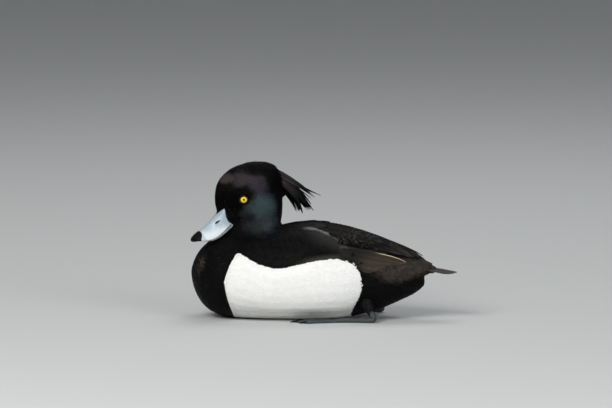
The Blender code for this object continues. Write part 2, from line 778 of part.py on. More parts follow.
def eye_centre(side):
    x, depth, z = EYE_CENTRE
    return head_matrix() @ Vector((x, side * depth, z))


def make_eye(name, side):
    eye = ball(name, eye_centre(side), (EYE_RADIUS,) * 3, EYE_RINGS, EYE_SIDES)
    finish(eye, "eye_yellow", 60.0)


def lock_along(root, bend, tip, outward, half_width):
    """A tapered lock on a curve, in the head's axes, with its flat side towards outward."""
    matrix = head_matrix()
    taper, roundness = LOCK_TAPER
    rings = []
    for i in range(LOCK_STATIONS):
        t = LOCK_END * i / (LOCK_STATIONS - 1)
        spot = root * (1 - t) ** 2 + bend * 2 * t * (1 - t) + tip * t * t
        ahead = ((bend - root) * (1 - t) + (tip - bend) * t).normalized()
        across = ahead.cross(outward).normalized() * half_width * (1 - t**taper) ** roundness
        thick = across.cross(ahead).normalized() * mix(LOCK_THICK, LOCK_TIP, t)
        rings.append([matrix @ (spot + step) for step in (across, thick, -across, -thick)])
    return loft("lock", rings)


def crest_core():
    matrix = head_matrix()
    rings = []
    for i, (x, z, half_depth, half_width) in enumerate(CREST_CORE):
        after = CREST_CORE[min(i + 1, len(CREST_CORE) - 1)]
        before = CREST_CORE[max(i - 1, 0)]
        ahead = Vector((after[0] - before[0], 0, after[1] - before[1])).normalized()
        up = Vector((-ahead.z, 0, ahead.x)) * half_depth
        across = Vector((0, half_width, 0))
        turns = [2 * math.pi * j / CREST_SIDES for j in range(CREST_SIDES)]
        rings.append([matrix @ (Vector((x, 0, z)) + up * math.cos(t) + across * math.sin(t)) for t in turns])
    return loft("crest", rings)


def make_crest():
    rng = random.Random(SEED)
    pieces = [crest_core()]
    back, up = LOCK_FACING
    for count, root, bend, tip, scatter in CREST_GROUPS:
        for k in range(count):
            place = 0.5 if count == 1 else k / (count - 1)
            turn = math.pi * (place - 0.5)
            outward = Vector((back * math.cos(turn), math.sin(turn), up * math.cos(turn))).normalized()
            aside = CREST_HALF_WIDTH * math.sin(turn)
            spread = Vector((scatter[0] * rng.uniform(-1, 1), 0, scatter[1] * rng.uniform(-1, 1)))
            lock = lock_along(
                Vector((root[0], aside, root[1])) + spread * LOCK_SCATTER[0],
                Vector((bend[0], aside * LOCK_BEND_SPREAD, bend[1])) + spread * LOCK_SCATTER[1],
                Vector((tip[0], aside * rng.uniform(*LOCK_TIP_SPREAD), tip[1])) + spread,
                outward,
                LOCK_HALF_WIDTH * rng.uniform(*LOCK_SIZES),
            )
            pieces.append(lock)
    crest = fuse("crest", pieces)
    cut(crest, column_mesh("column_space", GAP))
    finish(crest, "black_plumage")


# Bill.


def bill_matrix():
    """From the bill's frame, x along it, y across and z down, to the model's axes."""
    pitch = math.radians(BILL_PITCH)
    along = Vector((-math.cos(pitch), 0, -math.sin(pitch)))
    down = Vector((math.sin(pitch), 0, -math.cos(pitch)))
    across = Vector((0, 1, 0))
    local = Matrix((along, across, down)).transposed().to_4x4()
    return head_matrix() @ Matrix.Translation((BILL_ROOT[0], 0, BILL_ROOT[1])) @ local


def bill_mesh(name, table, rings, upper):
    matrix = bill_matrix()
    found = []
    for i in range(rings):
        along, top, edge, half_width, peak = row_at(table, (len(table) - 1) * i / (rings - 1))
        ring = []
        for j in range(BILL_SIDES):
            turn = 2 * math.pi * j / BILL_SIDES
            across = half_width * power(math.sin(turn), 2 / peak)
            arch = power(math.cos(turn), 2 / peak)
            depth = edge - top
            if upper:
                down = edge - depth * arch if arch > 0 else edge + BILL_HOLLOW * depth * arch
            else:
                down = top - depth * arch if arch < 0 else top - BILL_HOLLOW * depth * arch
            ring.append(matrix @ Vector((along, across, down)))
        found.append(ring)
    return loft(name, found)


def make_bill():
    matrix = bill_matrix()
    upper = bill_mesh("bill_upper", UPPER_BILL, UPPER_BILL_RINGS, True)
    along, across, down = NOSTRIL
    for side in (-1, 1):
        spot = matrix @ Vector((along, side * across, down))
        cut(upper, ball("nostril", spot, NOSTRIL_SIZE, NOSTRIL_RINGS, NOSTRIL_SIDES, matrix.to_3x3()))
    tip_room = block("tip", (NAIL_FROM + GAP / 2, -FAR, -FAR), (FAR, FAR, FAR), matrix)
    nail = trim_to(copy_of(upper, "bill_nail"), tip_room)
    cut(upper, block("tip", (NAIL_FROM - GAP / 2, -FAR, -FAR), (FAR, FAR, FAR), matrix))
    lower = bill_mesh("bill_lower", LOWER_BILL, LOWER_BILL_RINGS, False)
    for piece in (upper, lower):
        cut(piece, column_mesh("column_space", GAP))
    finish(upper, "bill_grey")
    finish(lower, "bill_grey")
    finish(nail, "nail_black")


# Tail.


def free_feather(root, heading, drop, length, half_width, thick):
    """A flat feather that leaves root, turned by heading to the side and by drop below level."""
    ahead = Vector((math.cos(heading) * math.cos(drop), math.sin(heading) * math.cos(drop), -math.sin(drop)))
    across = Vector((-math.sin(heading), math.cos(heading), 0))
    up = ahead.cross(across).normalized()
    top, bottom = [], []
    for i in range(FREE_STATIONS):
        share = i / (FREE_STATIONS - 1)
        body = mix(FREE_ROOT_WIDTH, 1.0, math.sin(math.pi * share))
        half = half_width * body * max(FREE_TIP_WIDTH, 1 - share**FREE_TAPER)
        spot = root + ahead * length * share
        row = [spot - across * half, spot + up * FREE_CROWN, spot + across * half]
        top.append(row)
        bottom.append([p - up * thick for p in row])
    return plate("feather", top, bottom)


def make_tail():
    drop = math.radians(TAIL_DROP)
    root_x, root_z = TAIL_ROOT
    turns = [2 * math.pi * j / TAIL_CORE_SIDES for j in range(TAIL_CORE_SIDES)]
    rings = []
    for behind, half_width, half_height in TAIL_CORE:
        centre = Vector((root_x + behind, 0, root_z - behind * math.tan(drop) - TAIL_CORE_DROP))
        around = [Vector((0, half_width * math.sin(t), half_height * math.cos(t))) for t in turns]
        rings.append([centre + step for step in around])
    pieces = [loft("tail", rings)]
    for k in range(TAIL_FEATHERS):
        place = 2 * k / (TAIL_FEATHERS - 1) - 1
        heading = math.radians(TAIL_SPREAD) * place
        level = -TAIL_STEP * abs(place) * TAIL_FEATHERS / 2 - TAIL_LAP * (k % 2)
        root = Vector((root_x + TAIL_ROOT_FORWARD, TAIL_ROOT_SPREAD * place, root_z + level))
        length = TAIL_LENGTH * (1 - TAIL_SHORTENING * place * place)
        pieces.append(free_feather(root, heading, drop, length, TAIL_HALF_WIDTH, FREE_THICK))
    tail = fuse("tail", pieces)
    cut(tail, torso_mesh("torso_space", GAP))
    finish(tail, "brown_plumage")


# Legs and feet.


def make_leg(name, side):
    points = [(x, side * (FOOT_Y - inwards), TARSUS_HEIGHT + up) for x, inwards, up, _ in LEG_RUN]
    leg = tube(name, points, [row[-1] for row in LEG_RUN], LEG_SIDES, floor=0.0)
    cut(leg, torso_mesh("torso_space", GAP))
    finish(leg, "foot_grey")


def make_foot(name, side):
    root = Vector((FOOT_ROOT_X, side * FOOT_Y, TOE_LIFT))
    stub, thicker = FOOT_STUB
    ends = [root, root - Vector((stub, 0, 0))]
    pieces = [tube(name, ends, [TARSUS_RADIUS + thicker] * 2, LEG_SIDES, floor=0.0)]
    start = root - Vector((TOE_START, 0, 0))
    tips = []
    for turn_degrees, length in TOES:
        turn = math.radians(turn_degrees)
        ahead = Vector((-math.cos(turn), side * math.sin(turn), 0))
        points = [start + ahead * length * share for share, _ in TOE_SWELL]
        radii = [TOE_RADIUS * swell for _, swell in TOE_SWELL]
        pieces.append(tube("toe", points, radii, TOE_SIDES, floor=0.0))
        claw = [points[-1] + ahead * reach for reach, _ in CLAW_RUN]
        claw[-1].z = CLAW_TIP_HEIGHT
        pieces.append(tube("claw", claw, [radius for _, radius in CLAW_RUN], CLAW_SIDES, floor=0.0))
        tips.append(points[-1])
    pieces += [make_web(start, first, second) for first, second in zip(tips, tips[1:])]
    finish(fuse(name, pieces), "foot_grey")


def make_web(start, first, second):
    """The skin between two toes, from their start to a hollow line between their tips."""
    top, bottom = [], []
    for i in range(WEB_GRID):
        share = mix(*WEB_SPAN, i / (WEB_GRID - 1))
        row = []
        for j in range(WEB_GRID):
            between = j / (WEB_GRID - 1)
            sag = 1 - WEB_SAG * math.sin(math.pi * between) * share
            row.append(start.lerp(first.lerp(second, between), share * sag))
        top.append([Vector((p.x, p.y, WEB_LOW + WEB_THICK)) for p in row])
        bottom.append([Vector((p.x, p.y, WEB_LOW)) for p in row])
    return plate("web", top, bottom)


def main():
    clear_scene()
    make_torso_and_belly()
    for side, word in ((-1, "left"), (1, "right")):
        make_flank(f"flank_{word}", side)
        make_shoulder(f"scapulars_{word}", side)
        make_wing(f"wing_{word}", side)
        make_leg(f"leg_{word}", side)
        make_foot(f"foot_{word}", side)
        make_eye(f"eye_{word}", side)
    make_neck_and_head()
    make_crest()
    make_bill()
    make_tail()


main()
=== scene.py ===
import math
import random

import bmesh
import bpy
import numpy as np
from mathutils import Matrix, Vector
from mathutils.bvhtree import BVHTree


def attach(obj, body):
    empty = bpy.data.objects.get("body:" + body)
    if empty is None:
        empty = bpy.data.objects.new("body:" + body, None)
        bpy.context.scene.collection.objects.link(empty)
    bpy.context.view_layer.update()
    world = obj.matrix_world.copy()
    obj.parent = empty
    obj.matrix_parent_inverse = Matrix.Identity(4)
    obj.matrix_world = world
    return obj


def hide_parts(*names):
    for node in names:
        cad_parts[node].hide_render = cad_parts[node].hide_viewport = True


# A drake tufted duck at rest, life size: skin, feathers, crest, bill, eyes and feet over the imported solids.
# Sizes are in millimetres until a mesh is made. The bird looks towards -X and its left side is at -Y.

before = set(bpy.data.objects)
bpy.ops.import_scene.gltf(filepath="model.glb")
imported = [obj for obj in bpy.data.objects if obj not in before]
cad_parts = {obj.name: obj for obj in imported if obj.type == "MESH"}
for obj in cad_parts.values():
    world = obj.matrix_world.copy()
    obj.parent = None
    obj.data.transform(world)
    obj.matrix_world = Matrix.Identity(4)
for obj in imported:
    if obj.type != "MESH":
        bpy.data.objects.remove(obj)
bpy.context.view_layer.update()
mm = 0.001


# Small helpers

def rowAt(table, place):
    # a row between the table's rows, on a smooth curve through them
    i = min(int(place), len(table) - 2)
    t = place - i
    before, here, after, beyond = (table[min(max(i + k, 0), len(table) - 1)] for k in (-1, 0, 1, 2))
    return [
        0.5 * (2 * b + (c - a) * t + (2 * a - 5 * b + 4 * c - d) * t * t + (3 * b - a - 3 * c + d) * t**3)
        for a, b, c, d in zip(before, here, after, beyond)
    ]


def alongTable(points, x):
    return np.interp(x, [p[0] for p in points], [p[1] for p in points])


def power(value, exponent):
    return math.copysign(abs(value) ** exponent, value)


def mix(a, b, share):
    return a + (b - a) * share


def rampUp(low, high, x):
    t = np.clip((np.asarray(x, float) - low) / (high - low), 0.0, 1.0)
    return t * t * (3 - 2 * t)


def unit(v):
    return v / np.maximum(np.linalg.norm(v, axis=-1, keepdims=True), 1e-9)


def moved(points, matrix):
    # many points at once through a 4 x 4 matrix
    matrix = np.array(matrix)
    return np.asarray(points) @ matrix[:3, :3].T + matrix[:3, 3]


def readVertices(mesh, label):
    values = np.zeros(len(mesh.vertices) * 3)
    mesh.vertices.foreach_get(label, values)
    return values.reshape(-1, 3)


def newObject(name, points, faces):
    mesh = bpy.data.meshes.new(name)
    mesh.from_pydata([tuple(Vector(p) * mm) for p in points], [], faces)
    work = bmesh.new()
    work.from_mesh(mesh)
    bmesh.ops.recalc_face_normals(work, faces=work.faces)
    work.to_mesh(mesh)
    work.free()
    mesh.shade_smooth()
    made = bpy.data.objects.new(name, mesh)
    bpy.context.scene.collection.objects.link(made)
    return made


def loft(name, rings):
    # a closed solid through rings of equal count, its ends closed by fans
    count = len(rings[0])
    points = [p for ring in rings for p in ring]
    faces = []
    for i in range(len(rings) - 1):
        for j in range(count):
            a, b = i * count + j, i * count + (j + 1) % count
            faces.append((a, b, b + count, a + count))
    for ring, start in ((rings[0], 0), (rings[-1], (len(rings) - 1) * count)):
        centre = len(points)
        points.append(sum((Vector(p) for p in ring), Vector()) / count)
        faces += [(start + j, start + (j + 1) % count, centre) for j in range(count)]
    return newObject(name, points, faces)


def bakeModifiers(obj):
    # turns what the modifiers make into a plain mesh
    bpy.context.view_layer.update()
    graph = bpy.context.evaluated_depsgraph_get()
    made = bpy.data.meshes.new_from_object(
        obj.evaluated_get(graph), preserve_all_data_layers=True, depsgraph=graph
    )
    obj.modifiers.clear()
    old = obj.data
    obj.data = made
    made.name = obj.name
    if old.users == 0:
        bpy.data.meshes.remove(old)
    return obj


def finishPiece(obj, material, slot, *nodes):
    if material is not None:
        obj.data.materials.clear()
        obj.data.materials.append(material)
    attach(obj, "root")
    if nodes:
        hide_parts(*nodes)
    return obj


# Material helpers

def addNode(tree, kind, inputs=None, **settings):
    node = tree.nodes.new(kind)
    for key, value in settings.items():
        setattr(node, key, value)
    for key, value in (inputs or {}).items():
        socket = node.inputs[key]
        if isinstance(value, bpy.types.NodeSocket):
            tree.links.new(value, socket)
        else:
            socket.default_value = value
    return node


def calc(tree, operation, a, b=None, c=None, clamp=False):
    node = tree.nodes.new("ShaderNodeMath")
    node.operation = operation
    node.use_clamp = clamp
    for i, value in enumerate((a, b, c)):
        if value is None:
            continue
        if isinstance(value, bpy.types.NodeSocket):
            tree.links.new(value, node.inputs[i])
        else:
            node.inputs[i].default_value = value
    return node.outputs[0]


def times(tree, first, *others):
    for other in others:
        first = calc(tree, "MULTIPLY", first, other)
    return first


def fadeOver(tree, value, low, high, toLow=0.0, toHigh=1.0):
    node = addNode(tree, "ShaderNodeMapRange", {"Value": value}, interpolation_type="SMOOTHSTEP")
    for label, amount in (("From Min", low), ("From Max", high), ("To Min", toLow), ("To Max", toHigh)):
        if isinstance(amount, bpy.types.NodeSocket):
            tree.links.new(amount, node.inputs[label])
        else:
            node.inputs[label].default_value = amount
    return node.outputs["Result"]


def blendColour(tree, share, a, b):
    node = tree.nodes.new("ShaderNodeMix")
    node.data_type = "RGBA"
    for label, value in (("Factor_Float", share), ("A_Color", a), ("B_Color", b)):
        socket = next(s for s in node.inputs if s.identifier == label)
        if isinstance(value, bpy.types.NodeSocket):
            tree.links.new(value, socket)
        elif isinstance(value, tuple):
            socket.default_value = (*value[:3], 1.0)
        else:
            socket.default_value = value
    return next(s for s in node.outputs if s.identifier == "Result_Color")


def newGroup(name, inputs, outputs):
    group = bpy.data.node_groups.new(name, "ShaderNodeTree")
    kinds = {"float": "NodeSocketFloat", "colour": "NodeSocketColor"}
    for label, kind, value in inputs:
        socket = group.interface.new_socket(label, in_out="INPUT", socket_type=kinds[kind])
        socket.default_value = (*value, 1.0) if kind == "colour" else value
    for label, kind in outputs:
        group.interface.new_socket(label, in_out="OUTPUT", socket_type=kinds[kind])
    start = group.nodes.new("NodeGroupInput")
    end = group.nodes.new("NodeGroupOutput")
    return group, start, end


def useGroup(tree, group, **values):
    node = tree.nodes.new("ShaderNodeGroup")
    node.node_tree = group
    for label, value in values.items():
        socket = node.inputs[label.replace("_", " ")]
        if isinstance(value, bpy.types.NodeSocket):
            tree.links.new(value, socket)
        else:
            socket.default_value = (*value, 1.0) if isinstance(value, tuple) and len(value) == 3 else value
    return node


def newMaterial(name, **constants):
    made = bpy.data.materials.new(name)
    made.use_nodes = True
    shader = made.node_tree.nodes["Principled BSDF"]
    for label, value in constants.items():
        shader.inputs[label.replace("_", " ")].default_value = value
    return made, made.node_tree, shader


def readValue(tree, name):
    return addNode(tree, "ShaderNodeAttribute", attribute_name=name).outputs["Fac"]


def noiseAt(tree, place, scale, detail, **extra):
    return addNode(tree, "ShaderNodeTexNoise", {"Vector": place, "Scale": scale, "Detail": detail, **extra})


def addRelief(tree, shader, height, strength, distance):
    bump = addNode(tree, "ShaderNodeBump", {"Height": height, "Strength": strength, "Distance": distance})
    tree.links.new(bump.outputs["Normal"], shader.inputs["Normal"])


def bodyPlace(tree):
    # object coordinates in millimetres: the vector, then its x and z
    place = addNode(tree, "ShaderNodeTexCoord").outputs["Object"]
    own = addNode(tree, "ShaderNodeVectorMath", {0: place}, operation="SCALE")
    own.inputs["Scale"].default_value = 1 / mm
    parts = addNode(tree, "ShaderNodeSeparateXYZ", {"Vector": own.outputs[0]})
    return own.outputs[0], parts.outputs["X"], parts.outputs["Z"]


def heightOver(tree, share, outline):
    # the height of an outline over a share of its length, both from 0 to 1
    node = tree.nodes.new("ShaderNodeFloatCurve")
    curve = node.mapping.curves[0]
    curve.points[0].location, curve.points[1].location = outline[0], outline[-1]
    for spot in outline[1:-1]:
        curve.points.new(*spot)
    node.mapping.update()
    tree.links.new(share, node.inputs["Value"])
    return node.outputs["Value"]


# Studio: the photograph's view, a plain pale floor and soft light

studio = {
    "azimuth": 6.0,
    "elevation": 6.0,
    "aim": (17.3, 0.0, 122.7),
    "distance": 7000.0,
    "pictureWidth": 661.0,  # what the picture spans at the bird
    "pixels": (612.0, 408.0),
    "sensorWidth": 36.0,
    # radius and height in metres of a floor that curves up into a far wall, all round
    "floorProfile": [(2.0, 0.0), (5.0, 0.0), (6.2, 0.12), (7.2, 0.6), (7.9, 1.5), (8.2, 3.0), (8.2, 6.0)],
    "floorSides": 48,
    "floorColour": (0.58, 0.59, 0.59),
    "worldStrength": 0.27,
    "keyPower": 66.0,
    "fillPower": 27.0,
    "topPower": 18.0,
}


def viewAxes():
    az, el = math.radians(studio["azimuth"]), math.radians(studio["elevation"])
    view = Vector((-math.sin(az) * math.cos(el), math.cos(az) * math.cos(el), -math.sin(el)))
    right = Vector((math.cos(az), math.sin(az), 0.0))
    return view, right, right.cross(view)


def addLight(name, place, aim, size, strength, colour):
    data = bpy.data.lights.new(name, "AREA")
    data.shape = "RECTANGLE"
    data.size, data.size_y = size
    data.energy = strength
    data.color = colour
    lamp = bpy.data.objects.new(name, data)
    lamp.location = place
    lamp.rotation_mode = "QUATERNION"
    lamp.rotation_quaternion = (Vector(aim) - Vector(place)).to_track_quat("-Z", "Y")
    bpy.context.scene.collection.objects.link(lamp)


def makeStudio():
    view, _, _ = viewAxes()
    aim = Vector(studio["aim"]) * mm
    data = bpy.data.cameras.new("camera")
    data.sensor_width = studio["sensorWidth"]
    data.lens = studio["sensorWidth"] * studio["distance"] / studio["pictureWidth"]
    data.clip_end = 60.0
    camera = bpy.data.objects.new("camera", data)
    camera.location = aim - view * studio["distance"] * mm
    camera.rotation_mode = "QUATERNION"
    camera.rotation_quaternion = view.to_track_quat("-Z", "Y")
    bpy.context.scene.collection.objects.link(camera)
    bpy.context.scene.camera = camera
    # keeps the blacks black beside the white side
    bpy.context.scene.view_settings.view_transform = "Standard"

    profile, sides = studio["floorProfile"], studio["floorSides"]
    points = [(0.0, 0.0, 0.0)]
    for radius, height in profile:
        turns = [math.tau * k / sides for k in range(sides)]
        points += [(radius * math.cos(turn), radius * math.sin(turn), height) for turn in turns]
    faces = [(0, 1 + k, 1 + (k + 1) % sides) for k in range(sides)]
    for i in range(len(profile) - 1):
        for k in range(sides):
            a, b = 1 + i * sides + k, 1 + i * sides + (k + 1) % sides
            faces.append((a, a + sides, b + sides, b))
    mesh = bpy.data.meshes.new("studioFloor")
    mesh.from_pydata(points, [], faces)
    mesh.shade_smooth()
    floor = bpy.data.objects.new("studioFloor", mesh)
    bpy.context.scene.collection.objects.link(floor)
    matte, _, shader = newMaterial("floorPaper", Roughness=0.9)
    shader.inputs["Base Color"].default_value = (*studio["floorColour"], 1.0)
    mesh.materials.append(matte)

    world = bpy.data.worlds.new("softRoom")
    world.use_nodes = True
    world.node_tree.nodes["Background"].inputs["Color"].default_value = (0.93, 0.96, 1.0, 1.0)
    world.node_tree.nodes["Background"].inputs["Strength"].default_value = studio["worldStrength"]
    bpy.context.scene.world = world
    addLight(
        "keyLight", (-1.0, -2.2, 1.8), (0.0, 0.0, 0.1), (1.6, 1.6), studio["keyPower"], (1.0, 0.985, 0.96)
    )
    addLight(
        "fillLight", (1.9, -1.9, 1.0), (0.05, 0.0, 0.08), (1.5, 1.5), studio["fillPower"], (0.95, 0.98, 1.0)
    )
    addLight("topLight", (0.2, 1.4, 2.3), (0.0, 0.0, 0.1), (1.6, 1.2), studio["topPower"], (1.0, 1.0, 1.0))


makeStudio()
print("studio ready")


# Head frame: from the head's own axes, x backwards from the axis it turns on and heights above the eye

headShape = {"axisX": -43.2, "turn": 26.0, "eyeHeight": 129.3}
headMatrix = Matrix.Translation((headShape["axisX"], 0, headShape["eyeHeight"])) @ Matrix.Rotation(
    math.radians(headShape["turn"]), 4, "Z"
)
headInverse = headMatrix.inverted()


def toHead(points):
    return moved(points, headInverse)


eyeShape = {
    "forward": 13.2, "depth": 15.9, "drop": 0.8, "radius": 5.2, "opening": 3.05, "lidOuter": 5.8,
    "turn": 18.0, "tilt": 8.0,
    "featherRing": (0.9, 0.4),  # how far forward and up the ring without feathers stands from the eye
}

# Bill frame: x along it from the feathers, y across, z down towards the lower bill
billShape = {
    "root": (-37.4, -15.1),
    "pitch": 29.0,
    "upper": [
        (-14.0, -6.4, 15.0, 10.4, 3.6), (-7.0, -4.4, 16.8, 11.4, 3.4), (1.0, -0.3, 18.2, 11.4, 2.6),
        (9.0, 2.5, 19.8, 10.8, 2.1), (17.0, 4.8, 20.5, 10.8, 2.0), (24.0, 6.2, 19.1, 11.6, 2.1),
        (30.0, 7.2, 16.6, 11.9, 2.2), (35.0, 8.2, 14.1, 10.2, 2.2), (38.3, 9.3, 13.0, 7.0, 2.2),
        (40.2, 10.6, 12.6, 3.0, 2.2),
    ],
    "lower": [
        (-12.0, 16.2, 20.6, 8.2, 2.0), (-4.0, 18.1, 21.9, 9.2, 2.0), (4.0, 19.7, 23.3, 9.2, 2.0),
        (12.0, 21.0, 24.1, 9.0, 2.0), (20.0, 20.7, 23.2, 8.8, 2.0), (26.0, 18.9, 20.5, 8.2, 2.0),
        (30.0, 16.9, 18.1, 6.4, 2.0), (32.5, 15.5, 16.5, 3.4, 2.0),
    ],
    "nailFrom": 26.8,
    "nostril": (7.2, 7.2),  # along and down
    "hollow": 0.05,  # how far the faces that meet are curved, as a share of the depth
    # where the feathers end: round the bill from the middle of its top, 0, to its lower edge, 1, and along it
    "featherLine": [
        (0.0, 2.4), (0.10, 1.75), (0.29, -2.75), (0.43, -7.25), (0.56, -4.75), (0.66, -3.3), (0.84, -3.0),
        (1.0, -5.0),
    ],
}


def billMatrix():
    pitch = math.radians(billShape["pitch"])
    along = Vector((-math.cos(pitch), 0, -math.sin(pitch)))
    down = Vector((math.sin(pitch), 0, -math.cos(pitch)))
    local = Matrix((along, Vector((0, 1, 0)), down)).transposed().to_4x4()
    rootX, rootZ = billShape["root"]
    return headMatrix @ Matrix.Translation((rootX, 0, rootZ)) @ local


billPlace = billMatrix()
billInverse = billPlace.inverted()


def toBill(points):
    return moved(points, billInverse)


def billAt(s, column, half="upper"):
    # one column of the bill's table, at places along it
    return np.interp(s, [row[0] for row in billShape[half]], [row[column] for row in billShape[half]])


def billOvershoot(local):
    # how far places in the bill's frame lie beyond the line where the feathers end, towards the nail
    s, y, down = np.asarray(local).T
    top, low, half = (billAt(s, column) for column in (1, 2, 3))
    around = np.arctan2(np.abs(y) / half, (low - down) / np.maximum(low - top, 1.0)) / (math.pi / 2)
    line = alongTable(billShape["featherLine"], np.clip(around, 0, 1))
    # under the chin the feathers reach further forwards
    return s - mix(line, 2.0, rampUp(1.8, 4.4, down - low))


# Markings: where the plumage is white, as outlines seen from the side

markings = {
    "whiteTop": [
        (-65, 44), (-61, 57), (-56, 67.5), (-51, 73.3), (-45, 72), (-38, 68), (-25, 62.5), (-8, 59),
        (14, 63.3), (36, 67.5), (57, 69), (69, 66), (77, 60), (81.5, 51.5), (83, 44),
    ],
    "whiteLow": [
        (-65, 41), (-63, 30), (-60, 17), (-58, 8), (-56, -5), (66, -5), (69, 8), (74, 17), (80, 28), (83, 40)
    ],
    "whiteEnds": (-65.0, 83.0),
    "wingFrom": 62.0,  # the x where the wing's lower edge takes over from the top of the white
    "tract": {"front": -44.0, "rear": 106.0, "fromBack": 9.0, "fromWhite": 1.5, "fromLow": 8.0},
    "backEdge": [(-60, 42), (-40, 41), (-20, 35), (-6, 23), (10, 13), (45, 8), (90, 7), (138, 6)],
    "wingLow": [(62, 69.9), (70, 67.2), (77, 62.5), (84, 56), (93, 52), (103, 53), (114, 56), (138, 59)],
}


def whiteness(points):
    # 1 inside the white of the side and belly, with a border about 1 mm wide
    x, _, z = points.T
    front, rear = markings["whiteEnds"]
    top = alongTable(markings["whiteTop"], x)
    low = alongTable(markings["whiteLow"], x)
    inside = np.minimum(np.minimum(top - z, z - low), np.minimum(x - front, rear - x))
    return rampUp(-0.5, 0.5, inside)


# Skin: one closed surface under all the plumage

skinShape = {
    "nodes": ("torso", "belly", "flank_left", "flank_right", "neck", "head"),
    "voxel": 1.35,
    "smooth": 10,
    "bodyDepth": 1.35,
    "headDepth": 0.65,
    "crestCore": [  # backwards, height, half depth, half width
        (8.0, 27.5, 7.0, 8.0), (16.0, 27.2, 7.6, 8.2), (25.0, 23.8, 8.0, 8.0), (34.0, 16.8, 7.8, 6.8),
        (42.0, 9.2, 6.4, 5.2), (48.0, 2.6, 4.0, 3.0),
    ],
    "tailRoot": [  # x, height, half width, half height
        (130.0, 58.5, 17.0, 9.0), (142.0, 56.0, 15.0, 7.5), (150.0, 54.2, 14.0, 6.0),
        (157.0, 52.4, 11.5, 3.6),
    ],
    "overlap": 0.3,  # how far each solid is grown, so that neighbours become one
    "socket": {"reach": 7.0, "back": -8.0, "rim": (4.6, 6.2), "depth": 0.9},
    "underHorn": 0.93,  # the skin's share of the horn's size where it lies under it
    "lowest": 0.75,
}


def crestCore():
    rings = []
    table = skinShape["crestCore"]
    for i, (x, z, halfDepth, halfWidth) in enumerate(table):
        after, before = table[min(i + 1, len(table) - 1)], table[max(i - 1, 0)]
        ahead = Vector((after[0] - before[0], 0, after[1] - before[1])).normalized()
        up = Vector((-ahead.z, 0, ahead.x)) * halfDepth
        across = Vector((0, halfWidth, 0))
        turns = [math.tau * j / 20 for j in range(20)]
        rings.append(
            [headMatrix @ (Vector((x, 0, z)) + up * math.cos(t) + across * math.sin(t)) for t in turns]
        )
    return loft("crestCore", rings)


def billRing(row, sides, upper, grow=0.0):
    along, top, edge, halfWidth, peak = row
    ring = []
    for j in range(sides):
        turn = math.tau * j / sides
        across = (halfWidth + grow) * power(math.sin(turn), 2 / peak)
        arch = power(math.cos(turn), 2 / peak)
        depth = edge - top + grow
        if upper:
            down = edge - depth * arch if arch > 0 else edge + billShape["hollow"] * depth * arch
        else:
            down = top - depth * arch if arch < 0 else top - billShape["hollow"] * depth * arch
        ring.append(Vector((along, across, down)))
    return ring


def billRoot():
    # the flesh that carries the feathers over the base of the bill
    rings = [billRing(rowAt(billShape["upper"], 2.55 * i / 12), 40, True, 0.1) for i in range(13)]
    return loft("billRoot", [[billPlace @ p for p in ring] for ring in rings])


def tailRoot():
    rings = []
    turns = [math.tau * j / 24 for j in range(24)]
    for x, z, halfWidth, halfHeight in skinShape["tailRoot"]:
        rings.append([Vector((x, halfWidth * math.sin(t), z + halfHeight * math.cos(t))) for t in turns])
    return loft("tailRoot", rings)


def makeSkin():
    work = bmesh.new()
    for name in skinShape["nodes"]:
        part = bmesh.new()
        part.from_mesh(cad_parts[name].data)
        bmesh.ops.remove_doubles(part, verts=part.verts, dist=2e-5)
        part.normal_update()
        for vert in part.verts:
            vert.co += vert.normal * skinShape["overlap"] * mm
        copy = bpy.data.meshes.new("part")
        part.to_mesh(copy)
        part.free()
        work.from_mesh(copy)
        bpy.data.meshes.remove(copy)
    for core in (crestCore(), billRoot(), tailRoot()):
        work.from_mesh(core.data)
        bpy.data.objects.remove(core)
    mesh = bpy.data.meshes.new("skin")
    work.to_mesh(mesh)
    work.free()
    skin = bpy.data.objects.new("skin", mesh)
    bpy.context.scene.collection.objects.link(skin)
    remesh = skin.modifiers.new("remesh", "REMESH")
    remesh.mode = "VOXEL"
    remesh.voxel_size = skinShape["voxel"] * mm
    relax = skin.modifiers.new("relax", "SMOOTH")
    relax.factor = 0.5
    relax.iterations = skinShape["smooth"]
    bakeModifiers(skin)
    keepOuterShell(skin.data)
    settleSkin(skin.data)
    return skin


def keepOuterShell(mesh):
    work = bmesh.new()
    work.from_mesh(mesh)
    left, shells = set(work.faces), []
    while left:
        shell, edge = set(), [left.pop()]
        while edge:
            face = edge.pop()
            shell.add(face)
            for side in face.edges:
                for other in side.link_faces:
                    if other in left:
                        left.discard(other)
                        edge.append(other)
        shells.append(shell)
    largest = max(shells, key=len)
    bmesh.ops.delete(work, geom=[f for f in work.faces if f not in largest], context="FACES")
    bmesh.ops.triangulate(work, faces=work.faces)
    work.to_mesh(mesh)
    work.free()
    mesh.shade_smooth()


